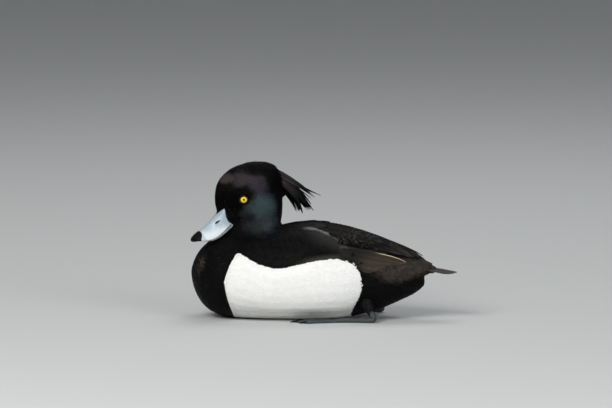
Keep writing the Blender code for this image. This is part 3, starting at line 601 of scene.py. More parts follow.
def settleSkin(mesh):
    # lets the skin down by the coat's thickness, into the eye sockets and under the horn of the bill
    points, normals = readVertices(mesh, "co") / mm, readVertices(mesh, "normal")
    headShare = rampUp(98, 114, points[:, 2]) * rampUp(40, 20, points[:, 0])
    points = points - normals * mix(skinShape["bodyDepth"], skinShape["headDepth"], headShare)[:, None]
    local = toHead(points)
    # eye sockets: the skin sinks below the eyeball inside the ring of the lids
    socket = skinShape["socket"]
    for side in (-1, 1):
        offset = local - np.array([-eyeShape["forward"], side * eyeShape["depth"], -eyeShape["drop"]])
        outward = offset[:, 1] * side
        across = np.hypot(offset[:, 0], offset[:, 2])
        near = (across < socket["reach"]) & (outward > socket["back"])
        ball = np.sqrt(np.maximum(eyeShape["radius"] ** 2 - across**2, 0.0))
        floorLine = mix(ball - socket["depth"], outward, rampUp(*socket["rim"], across))
        sunk = np.where(near, np.minimum(outward, floorLine), outward)
        local[:, 1] += (sunk - outward) * side
    # beyond the line where the feathers end the skin sinks under the horn
    horn = toBill(moved(local, headMatrix))
    top, edge, half, peak = (billAt(horn[:, 0], column) for column in (1, 2, 3, 4))
    rise = np.maximum(edge - horn[:, 2], 0) / (edge - top)
    reach = (np.abs(horn[:, 1] / half) ** peak + rise**peak) ** (1 / peak)
    near = (horn[:, 0] > -10) & (horn[:, 0] < 18) & (horn[:, 2] < edge + 4) & (horn[:, 2] > top - 8)
    share = skinShape["underHorn"]
    sink = rampUp(-0.7, 0.3, billOvershoot(horn)) * near * (reach > share)
    shrink = mix(1.0, share / np.maximum(reach, share), sink)
    horn[:, 1] *= shrink
    horn[:, 2] = np.where(horn[:, 2] < edge, edge - (edge - horn[:, 2]) * shrink, horn[:, 2])
    points = moved(horn, billPlace)
    points[:, 2] = np.maximum(points[:, 2], skinShape["lowest"])
    mesh.vertices.foreach_set("co", (points * mm).ravel())
    mesh.update()


skin = makeSkin()
print("skin:", len(skin.data.polygons), "triangles")


def readSkin():
    mesh = skin.data
    corners = np.zeros(len(mesh.polygons) * 3, int)
    mesh.polygons.foreach_get("vertices", corners)
    return readVertices(mesh, "co") / mm, readVertices(mesh, "normal"), corners.reshape(-1, 3)


skinPoints, skinNormals, skinTriangles = readSkin()
skinTree = BVHTree.FromPolygons(
    [Vector(p) for p in skinPoints], [tuple(int(i) for i in t) for t in skinTriangles]
)


def nearestOnSkin(point):
    place, _, index, _ = skinTree.find_nearest(Vector(point))
    a, b, c = (Vector(skinNormals[i]) for i in skinTriangles[index])
    return place, (a + b + c).normalized()


def photoSpot(px, py):
    # the place on the bird's left side that the photograph shows at a pixel
    view, right, up = viewAxes()
    wide, tall = studio["pixels"]
    scale = studio["pictureWidth"] / wide
    target = Vector(studio["aim"]) + right * (px - wide / 2) * scale + up * (tall / 2 - py) * scale
    start = Vector(studio["aim"]) - view * studio["distance"]
    place = skinTree.ray_cast(start, (target - start).normalized())[0]
    return nearestOnSkin(target)[0] if place is None else place


# Feather templates: thin closed vanes in a unit frame. The tree below gives each its place, bend and size.

vaneShapes = {
    # share along the feather and half width there
    "barb": {"rows": [(0.0, 0.22), (0.5, 0.5), (1.0, 0.07)], "variants": 3, "wobble": 0.05, "skew": 0.05},
    "contour": {
        "rows": [(0.0, 0.14), (0.22, 0.36), (0.48, 0.5), (0.72, 0.47), (0.9, 0.3), (1.0, 0.06)],
        "variants": 5, "wobble": 0.05, "skew": 0.06,
    },
    "silky": {
        "rows": [(0.0, 0.12), (0.2, 0.34), (0.42, 0.47), (0.62, 0.5), (0.8, 0.42), (0.93, 0.24), (1.0, 0.05)],
        "variants": 6, "wobble": 0.07, "skew": 0.08,
    },
    "quill": {
        "rows": [
            (0.0, 0.2), (0.1, 0.36), (0.25, 0.44), (0.42, 0.48), (0.58, 0.5), (0.72, 0.48), (0.84, 0.41),
            (0.93, 0.28), (0.98, 0.15), (1.0, 0.05),
        ],
        "variants": 4, "wobble": 0.02, "skew": 0.04,
    },
    "lock": {
        "rows": [
            (0.0, 0.42), (0.12, 0.5), (0.26, 0.5), (0.4, 0.47), (0.54, 0.42), (0.68, 0.35), (0.8, 0.26),
            (0.9, 0.17), (0.97, 0.08), (1.0, 0.03),
        ],
        "variants": 4, "wobble": 0.03, "skew": 0.10,
    },
}


def makeVane(name, rows, wobble, skew, rng):
    # across: -1..1 of the half width, crown: 1 on the ridge, 0 at the edges, below it underneath
    points, faces, marks = [], [], []
    lean = rng.uniform(-skew, skew)
    for along, half in rows:
        left = half * (1 + rng.uniform(-wobble, wobble))
        right = half * (1 + rng.uniform(-wobble, wobble))
        shift = lean * along * along
        for across, crown in ((-left, 0.0), (0.0, 1.0), (right, 0.0), (0.0, -0.35)):
            points.append((along, across + shift, 0.05 * crown))
            marks.append(
                (along, across + shift, crown, 0.5 + (0 if across == 0 else math.copysign(0.5, across)))
            )
    uvs = []
    for i in range(len(rows) - 1):
        for j in range(4):
            a, b = i * 4 + j, i * 4 + (j + 1) % 4
            faces.append((a, b, b + 4, a + 4))
            uvs.append([(marks[k][3], marks[k][0]) for k in faces[-1]])
    first, last = (0, 1, 2, 3), tuple((len(rows) - 1) * 4 + k for k in (3, 2, 1, 0))
    for face in (first, last):
        faces.append(face)
        uvs.append(
            [
                (marks[k][3], marks[k][0] + 0.04 * math.copysign(1, marks[k][2]) * (marks[k][2] != 0))
                for k in face
            ]
        )
    mesh = bpy.data.meshes.new(name)
    mesh.from_pydata(points, [], faces)
    layer = mesh.uv_layers.new(name="vane")
    layer.data.foreach_set("uv", [c for face in uvs for pair in face for c in pair])
    for label, k in (("along", 0), ("across", 1), ("crown", 2)):
        mesh.attributes.new(label, "FLOAT", "POINT").data.foreach_set("value", [m[k] for m in marks])
    rise = mesh.attributes.new("rise", "FLOAT", "POINT")
    rise.data.foreach_set("value", [m[0] ** 0.8 for m in marks])
    mesh.shade_smooth()
    work = bmesh.new()
    work.from_mesh(mesh)
    bmesh.ops.recalc_face_normals(work, faces=work.faces)
    for edge in work.edges:
        ends = [marks[v.index][2] for v in edge.verts]
        edge.smooth = not (ends[0] == 0.0 and ends[1] == 0.0)
    work.to_mesh(mesh)
    work.free()
    return bpy.data.objects.new(name, mesh)


def makeTemplates():
    made = {}
    for kind, shape in vaneShapes.items():
        group = bpy.data.collections.new(kind + "Vanes")
        rng = random.Random(11)
        for k in range(shape["variants"]):
            group.objects.link(makeVane(f"{kind}{k:02d}", shape["rows"], shape["wobble"], shape["skew"], rng))
        made[kind] = group
    return made


templates = makeTemplates()


# Geometry Nodes: puts a vane on every root, bends it from root over bend to tip, and lays it on the skin

def growFeathersTree():
    tree = bpy.data.node_groups.new("growFeathers", "GeometryNodeTree")
    ids = {}

    def addInput(label, kind, value=None):
        socket = tree.interface.new_socket(label, in_out="INPUT", socket_type=kind)
        if value is not None:
            socket.default_value = value
        ids[label] = socket.identifier

    addInput("Roots", "NodeSocketGeometry")
    addInput("Vanes", "NodeSocketCollection")
    addInput("Skin", "NodeSocketObject")
    addInput("Lowest", "NodeSocketFloat", 0.0003)
    addInput("Patch", "NodeSocketFloat", 0.003)
    addInput("Plumage", "NodeSocketMaterial")
    tree.interface.new_socket("Feathers", in_out="OUTPUT", socket_type="NodeSocketGeometry")
    start, end = tree.nodes.new("NodeGroupInput"), tree.nodes.new("NodeGroupOutput")
    link = tree.links.new

    def read(name, kind="FLOAT"):
        node = tree.nodes.new("GeometryNodeInputNamedAttribute")
        node.data_type = kind
        node.inputs["Name"].default_value = name
        return node.outputs["Attribute"]

    def number(operation, *values):
        return calc(tree, operation, *values)

    def vector(operation, *values):
        node = tree.nodes.new("ShaderNodeVectorMath")
        node.operation = operation
        for i, value in enumerate(values):
            socket = node.inputs["Scale"] if operation == "SCALE" and i == 1 else node.inputs[i]
            if isinstance(value, bpy.types.NodeSocket):
                link(value, socket)
            else:
                socket.default_value = value
        return node.outputs["Vector"]

    pieces = tree.nodes.new("GeometryNodeCollectionInfo")
    pieces.inputs["Separate Children"].default_value = True
    pieces.inputs["Reset Children"].default_value = True
    link(start.outputs["Vanes"], pieces.inputs["Collection"])
    place = tree.nodes.new("GeometryNodeInstanceOnPoints")
    link(start.outputs["Roots"], place.inputs["Points"])
    link(pieces.outputs["Instances"], place.inputs["Instance"])
    place.inputs["Pick Instance"].default_value = True
    link(read("pick", "INT"), place.inputs["Instance Index"])
    real = tree.nodes.new("GeometryNodeRealizeInstances")
    link(place.outputs["Instances"], real.inputs["Geometry"])

    along, across, crown, rise = (read(n) for n in ("along", "across", "crown", "rise"))
    root, bend, tip, side = (read(n, "FLOAT_VECTOR") for n in ("root", "bend", "tip", "side"))
    width, lift, base, thick, hug = (read(n) for n in ("width", "lift", "base", "thick", "hug"))
    toBend, toTip = vector("SUBTRACT", bend, root), vector("SUBTRACT", tip, root)
    back = number("SUBTRACT", 1.0, along)
    bendShare = number("MULTIPLY", number("MULTIPLY", along, back), 2.0)
    tipShare = number("MULTIPLY", along, along)
    middle = vector(
        "ADD", root, vector("ADD", vector("SCALE", toBend, bendShare), vector("SCALE", toTip, tipShare))
    )
    ahead = vector(
        "ADD", vector("SCALE", toBend, back), vector("SCALE", vector("SUBTRACT", tip, bend), along)
    )
    # the vane's side is kept square to its run
    run = vector("NORMALIZE", ahead)
    flat = tree.nodes.new("ShaderNodeVectorMath")
    flat.operation = "DOT_PRODUCT"
    link(side, flat.inputs[0])
    link(run, flat.inputs[1])
    square = vector("NORMALIZE", vector("SUBTRACT", side, vector("SCALE", run, flat.outputs["Value"])))
    up = vector("NORMALIZE", vector("CROSS_PRODUCT", run, square))
    spread = vector("ADD", middle, vector("SCALE", square, number("MULTIPLY", across, width)))
    height = number(
        "ADD", number("ADD", base, number("MULTIPLY", lift, rise)), number("MULTIPLY", crown, thick)
    )
    free = vector("ADD", spread, vector("SCALE", up, height))

    info = tree.nodes.new("GeometryNodeObjectInfo")
    link(start.outputs["Skin"], info.inputs["Object"])
    near = tree.nodes.new("GeometryNodeProximity")
    near.target_element = "FACES"
    link(info.outputs["Geometry"], near.inputs[0])
    link(spread, near.inputs["Source Position" if "Source Position" in near.inputs else "Sample Position"])
    normal = tree.nodes.new("GeometryNodeInputNormal")
    sample = tree.nodes.new("GeometryNodeSampleNearestSurface")
    sample.data_type = "FLOAT_VECTOR"
    link(info.outputs["Geometry"], sample.inputs["Mesh"])
    link(normal.outputs["Normal"], sample.inputs["Value"])
    link(spread, sample.inputs["Sample Position"])
    outward = vector("NORMALIZE", sample.outputs["Value"])
    lying = vector("ADD", near.outputs["Position"], vector("SCALE", outward, height))
    blend = tree.nodes.new("ShaderNodeMix")
    blend.data_type = "VECTOR"
    sockets = {s.identifier: s for s in blend.inputs}
    link(hug, sockets["Factor_Float"])
    link(free, sockets["A_Vector"])
    link(lying, sockets["B_Vector"])
    settled = next(s for s in blend.outputs if s.identifier == "Result_Vector")
    parts = tree.nodes.new("ShaderNodeSeparateXYZ")
    link(settled, parts.inputs[0])
    joined = tree.nodes.new("ShaderNodeCombineXYZ")
    link(parts.outputs["X"], joined.inputs["X"])
    link(parts.outputs["Y"], joined.inputs["Y"])
    link(number("MAXIMUM", parts.outputs["Z"], start.outputs["Lowest"]), joined.inputs["Z"])
    move = tree.nodes.new("GeometryNodeSetPosition")
    link(real.outputs["Geometry"], move.inputs["Geometry"])
    link(joined.outputs[0], move.inputs["Position"])

    patch = tree.nodes.new("GeometryNodeStoreNamedAttribute")
    patch.data_type = "FLOAT2"
    patch.domain = "CORNER"
    patch.inputs["Name"].default_value = "OFBake"
    spot = vector(
        "ADD", read("rootUv", "FLOAT_VECTOR"),
        vector(
            "SCALE", vector("SUBTRACT", read("vane", "FLOAT_VECTOR"), (0.5, 0.5, 0.0)), start.outputs["Patch"]
        )
    )
    link(move.outputs["Geometry"], patch.inputs["Geometry"])
    link(spot, next(s for s in patch.inputs if s.name == "Value" and s.enabled))
    paint = tree.nodes.new("GeometryNodeSetMaterial")
    link(patch.outputs["Geometry"], paint.inputs["Geometry"])
    link(start.outputs["Plumage"], paint.inputs["Material"])
    link(paint.outputs["Geometry"], end.inputs["Feathers"])
    return tree, ids


feathersTree, feathersInputs = growFeathersTree()
patchSize = 0.003  # how wide each feather's own patch is in the map OFBake
lowestFeather = 0.3
workAttributes = (
    "root", "bend", "tip", "side", "width", "lift", "base", "thick", "hug", "pick", "along", "across",
    "crown", "rise", "rootUv",
)


def growFeathers(name, roots, kind, material, slot="black_plumage", *nodes):
    # roots: an array for each label below and for unwrap, the root's place on the rolled out skin
    count = len(roots["root"])
    mesh = bpy.data.meshes.new(name)
    mesh.vertices.add(count)
    mesh.vertices.foreach_set("co", (roots["root"] * mm).astype(np.float32).ravel())
    rng = np.random.default_rng(5)
    unwrapped = roots["unwrap"]
    low, high = unwrapped.min(0), unwrapped.max(0)
    spread = patchSize + (unwrapped - low) / np.maximum(high - low, 1e-6) * (1 - 2 * patchSize)
    values = {
        "rootUv": np.column_stack([spread, np.zeros(count)]),
        "pick": rng.integers(0, vaneShapes[kind]["variants"], count),
    }
    for label in ("root", "bend", "tip", "width", "lift", "base", "thick"):
        values[label] = roots[label] * mm
    for label in ("side", "hug", "tint", "shade"):
        values[label] = roots[label]
    for label, array in values.items():
        if label == "pick":
            mesh.attributes.new(label, "INT", "POINT").data.foreach_set("value", array.astype(np.int32))
        elif array.ndim == 2:
            flat = array.astype(np.float32).ravel()
            mesh.attributes.new(label, "FLOAT_VECTOR", "POINT").data.foreach_set("vector", flat)
        else:
            mesh.attributes.new(label, "FLOAT", "POINT").data.foreach_set("value", array.astype(np.float32))
    piece = bpy.data.objects.new(name, mesh)
    bpy.context.scene.collection.objects.link(piece)
    modifier = piece.modifiers.new("grow", "NODES")
    modifier.node_group = feathersTree
    modifier[feathersInputs["Vanes"]] = templates[kind]
    modifier[feathersInputs["Skin"]] = skin
    modifier[feathersInputs["Lowest"]] = lowestFeather * mm
    modifier[feathersInputs["Patch"]] = patchSize
    modifier[feathersInputs["Plumage"]] = material
    bakeModifiers(piece)
    for label in workAttributes:
        found = piece.data.attributes.get(label)
        if found is not None:
            piece.data.attributes.remove(found)
    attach(piece, "root")
    if nodes:
        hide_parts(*nodes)
    triangles = sum(len(p.vertices) - 2 for p in piece.data.polygons)
    print(f"{name}: {count} feathers, {triangles} triangles")
    return piece


# Where the feathers grow: roots spread evenly over the skin, closer across the lie than along it

def lieOf(points, normals):
    # the way the feathers point: away from the bill on the head, down the neck, back along the body
    local = toHead(points)
    away = local - np.array([-50.0, 0.0, -27.0])
    turn = np.array(headMatrix)[:3, :3]
    # on the crest the lie bends down with it
    slope = np.radians(np.interp(local[:, 0], [0.0, 14.0, 25.0, 35.0, 48.0], [2.0, 10.0, 26.0, 43.0, 58.0]))
    overCrest = local[:, 2] + np.maximum(local[:, 0] - 22, 0) * 1.1
    onCrest = (rampUp(-8, 12, local[:, 0]) * rampUp(12, 22, overCrest))[:, None]
    crestWay = np.column_stack([np.cos(slope), np.zeros(len(points)), -np.sin(slope)])
    headWay = (unit(away) * (1 - onCrest) + crestWay * onCrest) @ turn.T
    headWay[:, 2] -= 0.15 * (1 - onCrest[:, 0])
    neckWay = np.tile(np.array([0.55, 0.0, -1.0]), (len(points), 1))
    bodyWay = np.tile(np.array([1.0, 0.0, -0.12]), (len(points), 1))
    bodyWay[:, 2] -= 0.75 * rampUp(-60, -98, points[:, 0])
    bodyWay[:, 2] -= 0.25 * rampUp(-20, -60, points[:, 0]) * rampUp(20, 60, points[:, 2])
    bodyWay[:, 1] -= 0.25 * np.sign(points[:, 1]) * rampUp(80, 130, points[:, 0])
    headPart = rampUp(100, 120, points[:, 2]) * rampUp(45, 25, points[:, 0])
    neckPart = rampUp(80, 98, points[:, 2]) * rampUp(35, 5, points[:, 0]) * (1 - headPart)
    bodyPart = 1 - headPart - neckPart
    way = headWay * headPart[:, None] + neckWay * neckPart[:, None] + bodyWay * bodyPart[:, None]
    way = way - normals * np.sum(way * normals, axis=1, keepdims=True)
    return unit(way)


def inTract(points):
    # under the shoulder feathers and the folded wing, clear of their edges
    x, y, z = points.T
    tract = markings["tract"]
    white = alongTable(markings["whiteTop"], x) + tract["fromWhite"]
    low = np.where(x < markings["wingFrom"], white, alongTable(markings["wingLow"], x)) + tract["fromLow"]
    outside = np.abs(y) > alongTable(markings["backEdge"], x) + tract["fromBack"]
    return (x > tract["front"]) & (x < tract["rear"]) & outside & (z > low)


def eyeDistance(local):
    near = np.full(len(local), 99.0)
    for side in (-1, 1):
        forward, up = eyeShape["featherRing"]
        across = np.hypot(local[:, 0] + eyeShape["forward"] + forward, local[:, 2] + eyeShape["drop"] - up)
        near = np.where(local[:, 1] * side > 4, np.minimum(near, across), near)
    return near


def onBill(points):
    local = toBill(points)
    s, y, down = local.T
    top, low, half = billAt(s, 1), billAt(s, 2, "lower"), billAt(s, 3)
    inside = (down > top - 2.2) & (down < low + 0.4) & (np.abs(y) < half + 0.6)
    return inside & (s > -6) & (billOvershoot(local) > -0.25)


# length, width, spacing along and across the lie, lift of the tip, height of the base, thickness
coat = {
    "head": (3.2, 1.2, 0.95, 0.66, 0.45, 0.05, 0.08),
    "face": (1.9, 0.8, 0.62, 0.45, 0.32, 0.05, 0.06),
    "neck": (4.2, 1.7, 1.3, 0.95, 0.50, 0.05, 0.09),
    "breast": (6.6, 3.2, 1.9, 1.6, 0.60, 0.05, 0.13),
    "back": (8.5, 4.6, 2.5, 2.3, 0.80, 0.05, 0.18),
    "white": (10.5, 3.0, 2.1, 1.3, 0.45, 0.05, 0.09),
    "belly": (8.5, 4.0, 2.6, 2.2, 0.50, 0.05, 0.12),
    "stern": (10.0, 4.2, 2.5, 2.0, 0.90, 0.05, 0.18),
    "crown": (13.5, 1.8, 2.1, 0.9, 0.9, 0.05, 0.14),
}
coatKinds = list(coat)
coatGrowth = {
    "seed": 17,
    "candidates": 3.2,  # places tried for each feather that is kept
    "cell": 4.2,
    # height, and the x at which the stern's feathers end there: bluntly under the tail, further over its root
    "sternEnd": [(28.0, 138.5), (38.0, 142.5), (46.0, 144.5), (51.0, 150.0), (58.0, 159.0), (64.0, 162.0)],
}
coatBorders = {
    "breast": -52.0, "stern": 86.0,  # the x where one ends and the other begins
    "belly": (-60.0, 70.0, 12.0),  # x of its front and rear, and height
    "neck": (12.0, 86.0, 34.0),  # x of its rear, height, and radius round the head's axis
    "head": (40.0, 108.0, 5.0),  # x of its rear, height, and how far that wavers
    "crown": (-9.0, 122.0, 19.0),  # backwards, height, and height in the head's frame
    "crest": (36.5, 120.0),  # backwards, and height
    "face": (104.0, 9.5),  # height, and distance from the eye
    "lores": (-9.0, -18.0),  # along the bill, and backwards
}


def zoneOf(points):
    # which of the coat's kinds grows at each place, as an index
    local = toHead(points)
    back, aside, high = local.T
    x, _, z = points.T
    b = coatBorders
    onCrown = (back > b["crown"][0]) & (z > b["crown"][1])
    onCrown &= high + np.maximum(back - 22, 0) * 1.1 > b["crown"][2]
    onCrest = (back > b["crest"][0]) & (z > b["crest"][1])
    onLores = (toBill(points)[:, 0] > b["lores"][0]) & (back < b["lores"][1])
    wavering = b["head"][1] + b["head"][2] * softNoise(points, 9.0, 12)
    zone = np.full(len(points), coatKinds.index("back"))
    for kind, where in (
        ("breast", x < b["breast"]),
        ("stern", x > b["stern"]),
        ("white", whiteness(points) > 0.5),
        ("belly", (x > b["belly"][0]) & (x < b["belly"][1]) & (z < b["belly"][2])),
        ("neck", (x < b["neck"][0]) & (z > b["neck"][1]) & (np.hypot(back * 0.6, aside) < b["neck"][2])),
        ("head", (x < b["head"][0]) & (z > wavering)),
        ("crown", onCrown | onCrest),
        ("face", (z > b["face"][0]) & ((eyeDistance(local) < b["face"][1]) | onLores)),
    ):
        zone[where] = coatKinds.index(kind)
    return zone


def scatterRoots():
    rng = np.random.default_rng(coatGrowth["seed"])
    corners = skinPoints[skinTriangles]
    cross = np.cross(corners[:, 1] - corners[:, 0], corners[:, 2] - corners[:, 0])
    area = 0.5 * np.linalg.norm(cross, axis=1)
    zone = zoneOf(corners.mean(1))
    step = np.array([coat[k][2] * coat[k][3] for k in coatKinds])[zone]
    wanted = area / step * coatGrowth["candidates"]
    count = np.floor(wanted + rng.random(len(wanted))).astype(int)
    picked = np.repeat(np.arange(len(area)), count)
    a, b = rng.random(len(picked)), rng.random(len(picked))
    over = a + b > 1
    a[over], b[over] = 1 - a[over], 1 - b[over]
    weights = np.column_stack([1 - a - b, a, b])
    points = np.einsum("ij,ijk->ik", weights, skinPoints[skinTriangles[picked]])
    normals = unit(np.einsum("ij,ijk->ik", weights, skinNormals[skinTriangles[picked]]))
    order = rng.permutation(len(points))
    points, normals = points[order], normals[order]
    zones = zoneOf(points)
    local = toHead(points)
    keep = ~inTract(points) & ~onBill(points) & (eyeDistance(local) > eyeShape["lidOuter"] - 0.6)
    points, normals, zones = points[keep], normals[keep], zones[keep]
    lie = lieOf(points, normals)
    sizes = np.array([coat[k] for k in coatKinds])[zones]
    cell = coatGrowth["cell"]
    table, kept = {}, []
    cells = np.floor(points / cell).astype(int)
    for i in range(len(points)):
        p, way, sa, sc = points[i], lie[i], sizes[i, 2], sizes[i, 3]
        px, py, pz = p
        wx, wy, wz = way
        cx, cy, cz = cells[i]
        clear = True
        for key in neighbourCells(
            cx, cy, cz, px / cell - cx, py / cell - cy, pz / cell - cz, max(sa, sc) / cell
        ):
            for qx, qy, qz in table.get(key, ()):
                dx, dy, dz = qx - px, qy - py, qz - pz
                straight = dx * wx + dy * wy + dz * wz
                wide = dx * dx + dy * dy + dz * dz - straight * straight
                if (straight / sa) ** 2 + wide / (sc * sc) < 1.0:
                    clear = False
                    break
            if not clear:
                break
        if clear:
            table.setdefault((cx, cy, cz), []).append((px, py, pz))
            kept.append(i)
    kept = np.array(kept)
    return points[kept], normals[kept], lie[kept], zones[kept]


def neighbourCells(cx, cy, cz, fx, fy, fz, reach):
    # only the cells that the reach can touch
    xs = [cx + k for k in (-1, 0, 1) if (k == 0 or (k < 0 and fx < reach) or (k > 0 and fx > 1 - reach))]
    ys = [cy + k for k in (-1, 0, 1) if (k == 0 or (k < 0 and fy < reach) or (k > 0 and fy > 1 - reach))]
    zs = [cz + k for k in (-1, 0, 1) if (k == 0 or (k < 0 and fz < reach) or (k > 0 and fz > 1 - reach))]
    return [(i, j, k) for i in xs for j in ys for k in zs]


def unwrapPlaces(points):
    # the skin rolled out: round the body's long axis, or round the head's own
    local = toHead(points)
    onHead = rampUp(92, 100, points[:, 2]) * rampUp(50, 40, points[:, 0]) > 0.5
    body = np.column_stack([points[:, 0], np.arctan2(points[:, 1], points[:, 2] - 45.0) * 45.0])
    head = np.column_stack([local[:, 0], np.arctan2(local[:, 1], local[:, 2] + 2.0) * 30.0])
    return np.where(onHead[:, None], head, body)


def softNoise(points, scale, seed):
    # smooth seeded noise from a few sine waves, between about -1 and 1
    rng = np.random.default_rng(seed)
    total = np.zeros(len(points))
    for _ in range(7):
        way = unit(rng.normal(size=3)[None])[0] / scale * rng.uniform(0.6, 1.7)
        total += np.sin(points @ way * math.tau + rng.uniform(0, math.tau))
    return total / 3.2


def coatRoots(points, normals, lie, zones):
    rng = np.random.default_rng(coatGrowth["seed"] + 1)
    sizes = np.array([coat[k] for k in coatKinds])[zones]
    count = len(points)
    length = sizes[:, 0] * rng.uniform(0.85, 1.15, count)
    local = toHead(points)
    onCrown = zones == coatKinds.index("crown")
    growing = mix(0.36, 1.0, rampUp(-9, 12, local[:, 0])) * mix(1.0, 0.75, rampUp(34, 48, local[:, 0]))
    length *= np.where(onCrown, growing, 1.0)
    length *= mix(1.0, 1.5, rampUp(112, 132, points[:, 0]) * (zones == coatKinds.index("stern")))
    end = alongTable(coatGrowth["sternEnd"], points[:, 2]) + rng.uniform(-1.5, 1.0, count)
    room = np.maximum((end - points[:, 0]) / np.maximum(lie[:, 0], 0.35), 3.0)
    length = np.where(points[:, 0] > 105, np.clip(length, 3.0, room), length)
    width = sizes[:, 1] * rng.uniform(0.88, 1.12, count)
    turn = rng.normal(0, 0.09, count)[:, None]
    across = np.cross(normals, lie)
    way = unit(lie * np.cos(turn) + across * np.sin(turn))
    lift = sizes[:, 4] * rng.uniform(0.75, 1.3, count)
    lift *= np.where(onCrown & (rng.random(count) < 0.05), 2.2, 1.0)  # a few on the crown stand up
    return {
        "root": points,
        "bend": points + way * (length * 0.5)[:, None],
        "tip": points + way * length[:, None],
        "seen": points + way * (length * 0.72)[:, None],  # the part of it that the next ones leave free
        "side": np.cross(normals, way),
        "width": width,
        "lift": lift,
        "base": sizes[:, 5] * rng.uniform(0.0, 1.0, count),
        "thick": sizes[:, 6],
        "hug": 1.0 - 0.8 * rampUp(132, 143, points[:, 0]),
        "tint": rng.random(count),
        "shade": np.zeros(count),
        "unwrap": unwrapPlaces(points),
    }


def someOf(roots, chosen):
    return {label: values[chosen] for label, values in roots.items()}


# Materials

def makeVaneMarks():
    # reads a feather's own map: shaft, barbs and edge, and its own two values
    group, start, end = newGroup(
        "vaneMarks",
        [("Barb Count", "float", 30.0), ("Shaft Width", "float", 0.07), ("Edge Width", "float", 0.22)],
        [(label, "float") for label in ("Shaft", "Barbs", "Edge", "Along", "Aside", "Tint", "Shade")],
    )
    vane = addNode(group, "ShaderNodeAttribute", attribute_name="vane")
    parts = addNode(group, "ShaderNodeSeparateXYZ", {"Vector": vane.outputs["Vector"]})
    aside = times(group, calc(group, "SUBTRACT", parts.outputs["X"], 0.5), 2.0)
    group.links.new(aside, end.inputs["Aside"])
    off = calc(group, "ABSOLUTE", aside)
    along = parts.outputs["Y"]
    group.links.new(fadeOver(group, off, 0.0, start.outputs["Shaft Width"], 1.0, 0.0), end.inputs["Shaft"])
    slant = calc(group, "SUBTRACT", along, times(group, off, 0.22))
    wave = calc(group, "SINE", times(group, slant, times(group, start.outputs["Barb Count"], math.tau)))
    group.links.new(calc(group, "MULTIPLY_ADD", wave, 0.5, 0.5), end.inputs["Barbs"])
    inner = calc(group, "SUBTRACT", 1.0, start.outputs["Edge Width"])
    rim = fadeOver(group, off, inner, 1.0)
    tipEdge = fadeOver(
        group, along, calc(group, "SUBTRACT", 1.0, times(group, start.outputs["Edge Width"], 0.5)), 1.0
    )
    far = fadeOver(group, along, 0.25, 0.6)
    group.links.new(calc(group, "MAXIMUM", times(group, rim, far), tipEdge), end.inputs["Edge"])
    group.links.new(along, end.inputs["Along"])
    for label, name in (("Tint", "tint"), ("Shade", "shade")):
        group.links.new(readValue(group, name), end.inputs[label])
    return group


def makeSoftVariation():
    # slow changes over the body, in object coordinates
    group, start, end = newGroup(
        "softVariation", [("Size", "float", 0.02), ("Seed", "float", 0.0)], [("Value", "float")]
    )
    place = addNode(group, "ShaderNodeTexCoord").outputs["Object"]
    scale = calc(group, "DIVIDE", 1.0, start.outputs["Size"])
    shift = addNode(group, "ShaderNodeVectorMath", {0: place}, operation="ADD")
    group.links.new(start.outputs["Seed"], shift.inputs[1])
    noise = noiseAt(group, shift.outputs[0], scale, 3.0)
    group.links.new(noise.outputs["Fac"], end.inputs["Value"])
    return group


# Patches on the head: backwards and height of the centre, the two radii, strength and colour. The first
# seven are painted sheen, its green, purple and brown shine laid into the colour, and the last two are
# painted shade that keeps it black behind the bill and under the crest.
headPatches = [
    (3.0, -28.0, 24.0, 14.0, 0.75, (0.023, 0.027, 0.028)),
    (-9.0, -10.0, 15.0, 13.0, 0.8, (0.030, 0.033, 0.035)),
    (7.0, -8.0, 21.0, 20.0, 1.0, (0.044, 0.070, 0.074)),
    (13.0, -23.0, 17.0, 15.0, 0.75, (0.038, 0.050, 0.058)),
    (-9.0, 20.5, 23.0, 11.0, 0.95, (0.046, 0.036, 0.039)),
    (3.0, 12.0, 13.0, 14.0, 0.75, (0.042, 0.038, 0.052)),
    (-33.0, 24.5, 16.0, 9.0, 0.85, (0.056, 0.044, 0.041)),
    (-28.0, -2.0, 22.0, 18.0, 0.95, (0.0007, 0.0007, 0.0008)),
    (24.0, 15.0, 10.0, 25.0, 0.8, (0.0010, 0.0010, 0.0012)),
]


